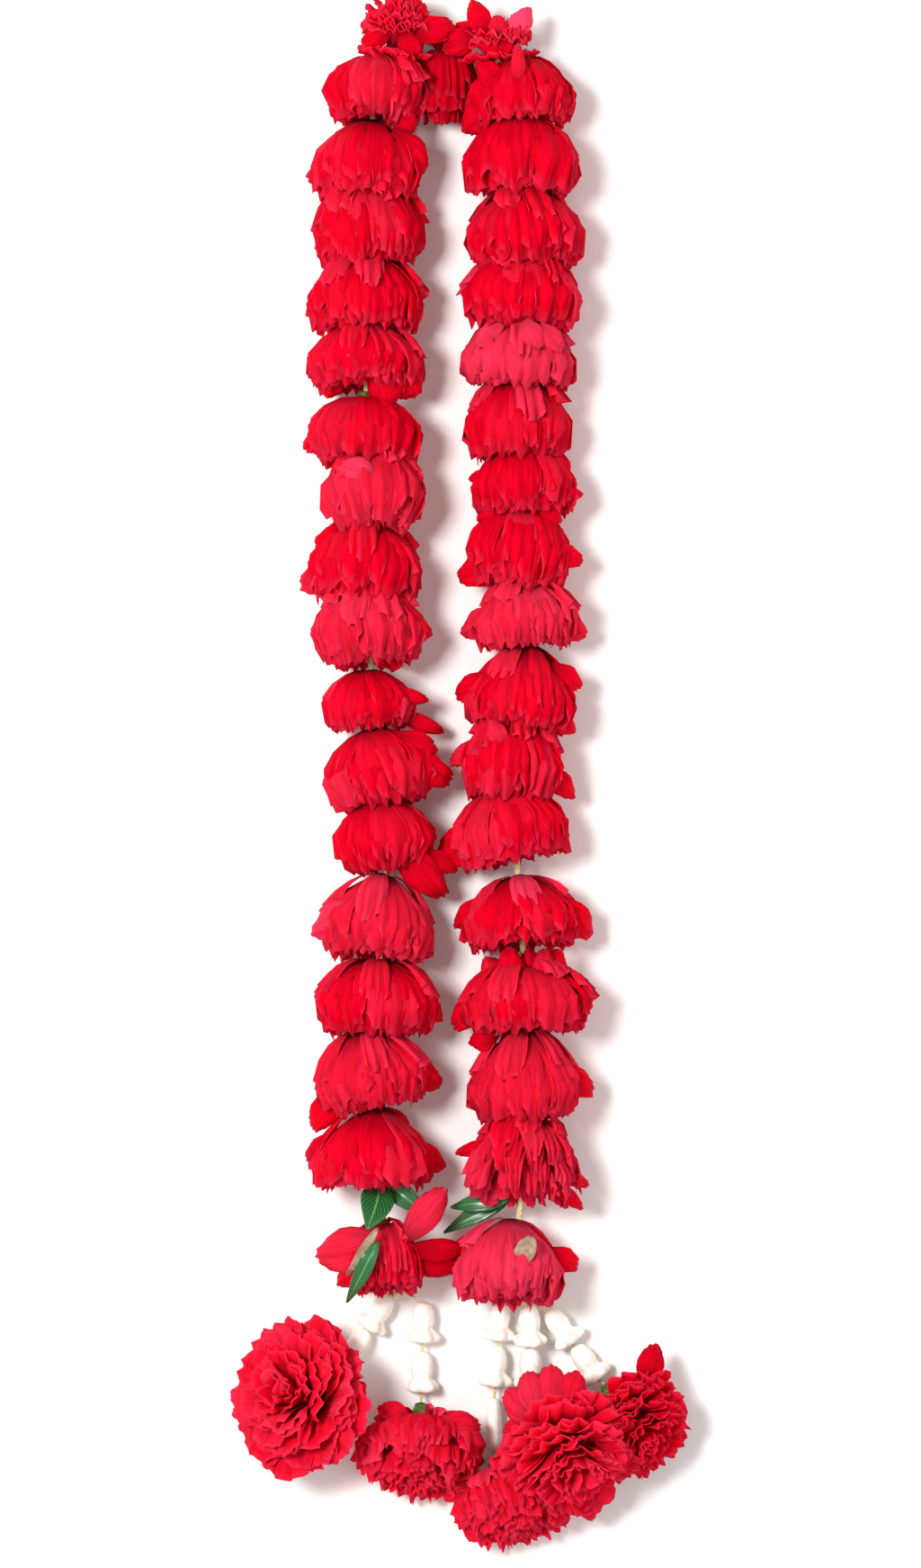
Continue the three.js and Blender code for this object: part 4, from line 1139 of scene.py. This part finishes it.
# %% [markdown]
# Three loose pieces lie over the lowest pair of blooms: a leaf as narrow as a strip, a dry strip beside
# it, and one dried petal. They are blades too, the dry ones in a papery finish that mottles from
# grey-brown to straw. They stand for no CAD node, so they only ride on the lei.

# %% Loose blades
DRY_PATCH = 3.0
DRY_TONES = [(0.3, 0x8A5A48), (0.65, 0xA99A80)]
DRIED = mottled_finish("dried petal, papery and curled", DRY_PATCH, DRY_TONES, (0.6, 0.3), Roughness=0.85,
                       IOR=1.4)
LOOSE_BLADES = {
    "left_strip": ([(-38, -214, 54), (-45.5, -229, 64), (-53, -245, 36)], 7, 0.1, LEAF),
    "left_dry_strip": ([(-38, -208, 52), (-45.5, -220, 62), (-53, -232, 40)], 4, 0.1, DRIED),
    "right_dried_petal": ([(33, -212, 52), (30, -220, 60), (23, -229, 50)], 9, 0.2, DRIED),
}

for name, (path, width, fold, material) in LOOSE_BLADES.items():
    blade = make_leaf(name, path, width, fold, material)
    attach(blade, "root")
    "carnation_petals" if "petal" in name else "leaf_green"
print("loose blades:", len(LOOSE_BLADES))

# %% [markdown]
# The cord is cream cotton: rough, a little fluffy, and mottled by its fibres, which are drawn coarser than
# real ones so that they show.

# %% Cord finish
FIBRE = 0.3
COTTON_TONES = [(0.3, 0xC9B06A), (0.7, 0xF0E2B0)]
CORD = mottled_finish("twisted cotton cord", FIBRE, COTTON_TONES, (0.6, 0.15), detail=2.0, Roughness=0.9,
                      Sheen_Weight=0.3)
print("material:", CORD.name)

# %% [markdown]
# The cord is twisted from three plies, and each thinner thread from two. A smooth tube with a striped bump
# would do from afar, but the cord shows between the blooms, so the plies are real tubes that wind round
# the route. The route's corners are cut first, so that the cord bends and doesn't kink.

# %% Tubes and plies
PLY_SIDES = 6
STEEP = 0.9


def rounded(points, rounds=2):
    """The chain of points with its corners cut, twice over."""
    for _ in range(rounds):
        cut = [points[0]]
        for a, b in zip(points, points[1:]):
            cut += [0.75 * a + 0.25 * b, 0.25 * a + 0.75 * b]
        points = [*cut, points[-1]]
    return np.array(points)


def resampled(points, step):
    """The same chain with even steps, and how far along it each point is."""
    lengths = np.linalg.norm(np.diff(points, axis=0), axis=1)
    total = np.concatenate([[0], np.cumsum(lengths)])
    at = np.linspace(0, total[-1], max(3, int(total[-1] / step)))
    return np.stack([np.interp(at, total, points[:, k]) for k in range(3)], axis=1), at


def tube(centres, radius):
    """The points and faces of a closed tube along centres."""
    heading = unit(np.gradient(centres, axis=0))
    reference = np.where(np.abs(heading[:, 2:3]) > STEEP, [[1.0, 0, 0]], [[0, 0, 1.0]])
    side = unit(np.cross(reference, heading))
    up = np.cross(heading, side)
    turns = np.linspace(0, 2 * math.pi, PLY_SIDES, endpoint=False)
    ring = side[:, None] * np.cos(turns)[None, :, None] + up[:, None] * np.sin(turns)[None, :, None]
    faces = []
    for start in range(0, (len(centres) - 1) * PLY_SIDES, PLY_SIDES):
        for k in range(PLY_SIDES):
            a, b = start + k, start + (k + 1) % PLY_SIDES
            faces.append((a, b, b + PLY_SIDES, a + PLY_SIDES))
    last = (len(centres) - 1) * PLY_SIDES
    faces.append(tuple(range(PLY_SIDES - 1, -1, -1)))
    faces.append(tuple(range(last, last + PLY_SIDES)))
    return (centres[:, None] + radius * ring).reshape(-1, 3), faces


def twisted(route, plies, ply_radius, lay_radius, pitch, step):
    """The tubes of the plies that wind round a route."""
    centres, at = resampled(rounded([np.array(p, float) for p in route]), step)
    side, up = level_axes(unit(np.gradient(centres, axis=0)))
    for ply in range(plies):
        turn = 2 * math.pi * (at / pitch + ply / plies)
        winding = side * np.cos(turn)[:, None] + up * np.sin(turn)[:, None]
        yield tube(centres + lay_radius * winding, ply_radius)


print("a ply has", PLY_SIDES, "sides")

# %% [markdown]
# The cord runs through every bloom and over the top inside the two topmost ones, and ends in two knots
# that carry the five threads. Each knot is a small trefoil, tied from the same cord. All of it is one
# piece.

# %% Cord, threads and knots
TOP_BEND = [
    (-38.2, 344.4, 23.2), (-35, 347.4, 22.6), (-30.6, 347.8, 21.4), (-22, 344.8, 19.4),
    (-6.5, 341.6, 17.4), (10, 344.8, 19.4), (19, 347.8, 21.4), (23.6, 347.4, 22.6), (27, 344.4, 23.2),
]
KNOTS = {"left": (-31.2, -240.6, 12.5), "right": (27.4, -243.8, 14.5)}
CORD_PLY = {"plies": 3, "ply_radius": 0.78, "lay_radius": 0.72, "pitch": 8.0, "step": 0.8}
THREAD_PLY = {"plies": 2, "ply_radius": 0.45, "lay_radius": 0.35, "pitch": 4.0, "step": 0.5}
KNOT_TUBE = 1.15
KNOT_SIZE = 1.15
KNOT_STEPS = 49
THREAD_IN_SOCKET = 3.4


def knot_tube(centre):
    """A cord tied in a trefoil, small and tight."""
    t = np.linspace(0, 2 * math.pi, KNOT_STEPS)
    loops = np.stack([np.sin(t) + 2 * np.sin(2 * t), np.cos(t) - 2 * np.cos(2 * t), -np.sin(3 * t)], axis=1)
    return tube(np.array(centre) + KNOT_SIZE * loops, KNOT_TUBE)


loop_route = [KNOTS["left"], *LEFT_ROUTE[::-1], *TOP_BEND, *RIGHT_ROUTE, KNOTS["right"]]
tubes = [*twisted(loop_route, **CORD_PLY), *map(knot_tube, KNOTS.values())]
for letter, thread in TASSEL.items():
    tip, towards = socket(letter)
    end = tip + THREAD_IN_SOCKET * towards
    tubes += twisted([KNOTS[thread["knot"]], *thread["points"], tip, end], **THREAD_PLY)
points, faces = [], []
for tube_points, tube_faces in tubes:
    faces += [tuple(i + len(points) for i in face) for face in tube_faces]
    points += tube_points.tolist()
cord = add_object("twisted_cord", points, faces, CORD)
complete(cord)
stand_for(cord, "cotton_cord", "cord")
print("cord:", len(tubes), "tubes")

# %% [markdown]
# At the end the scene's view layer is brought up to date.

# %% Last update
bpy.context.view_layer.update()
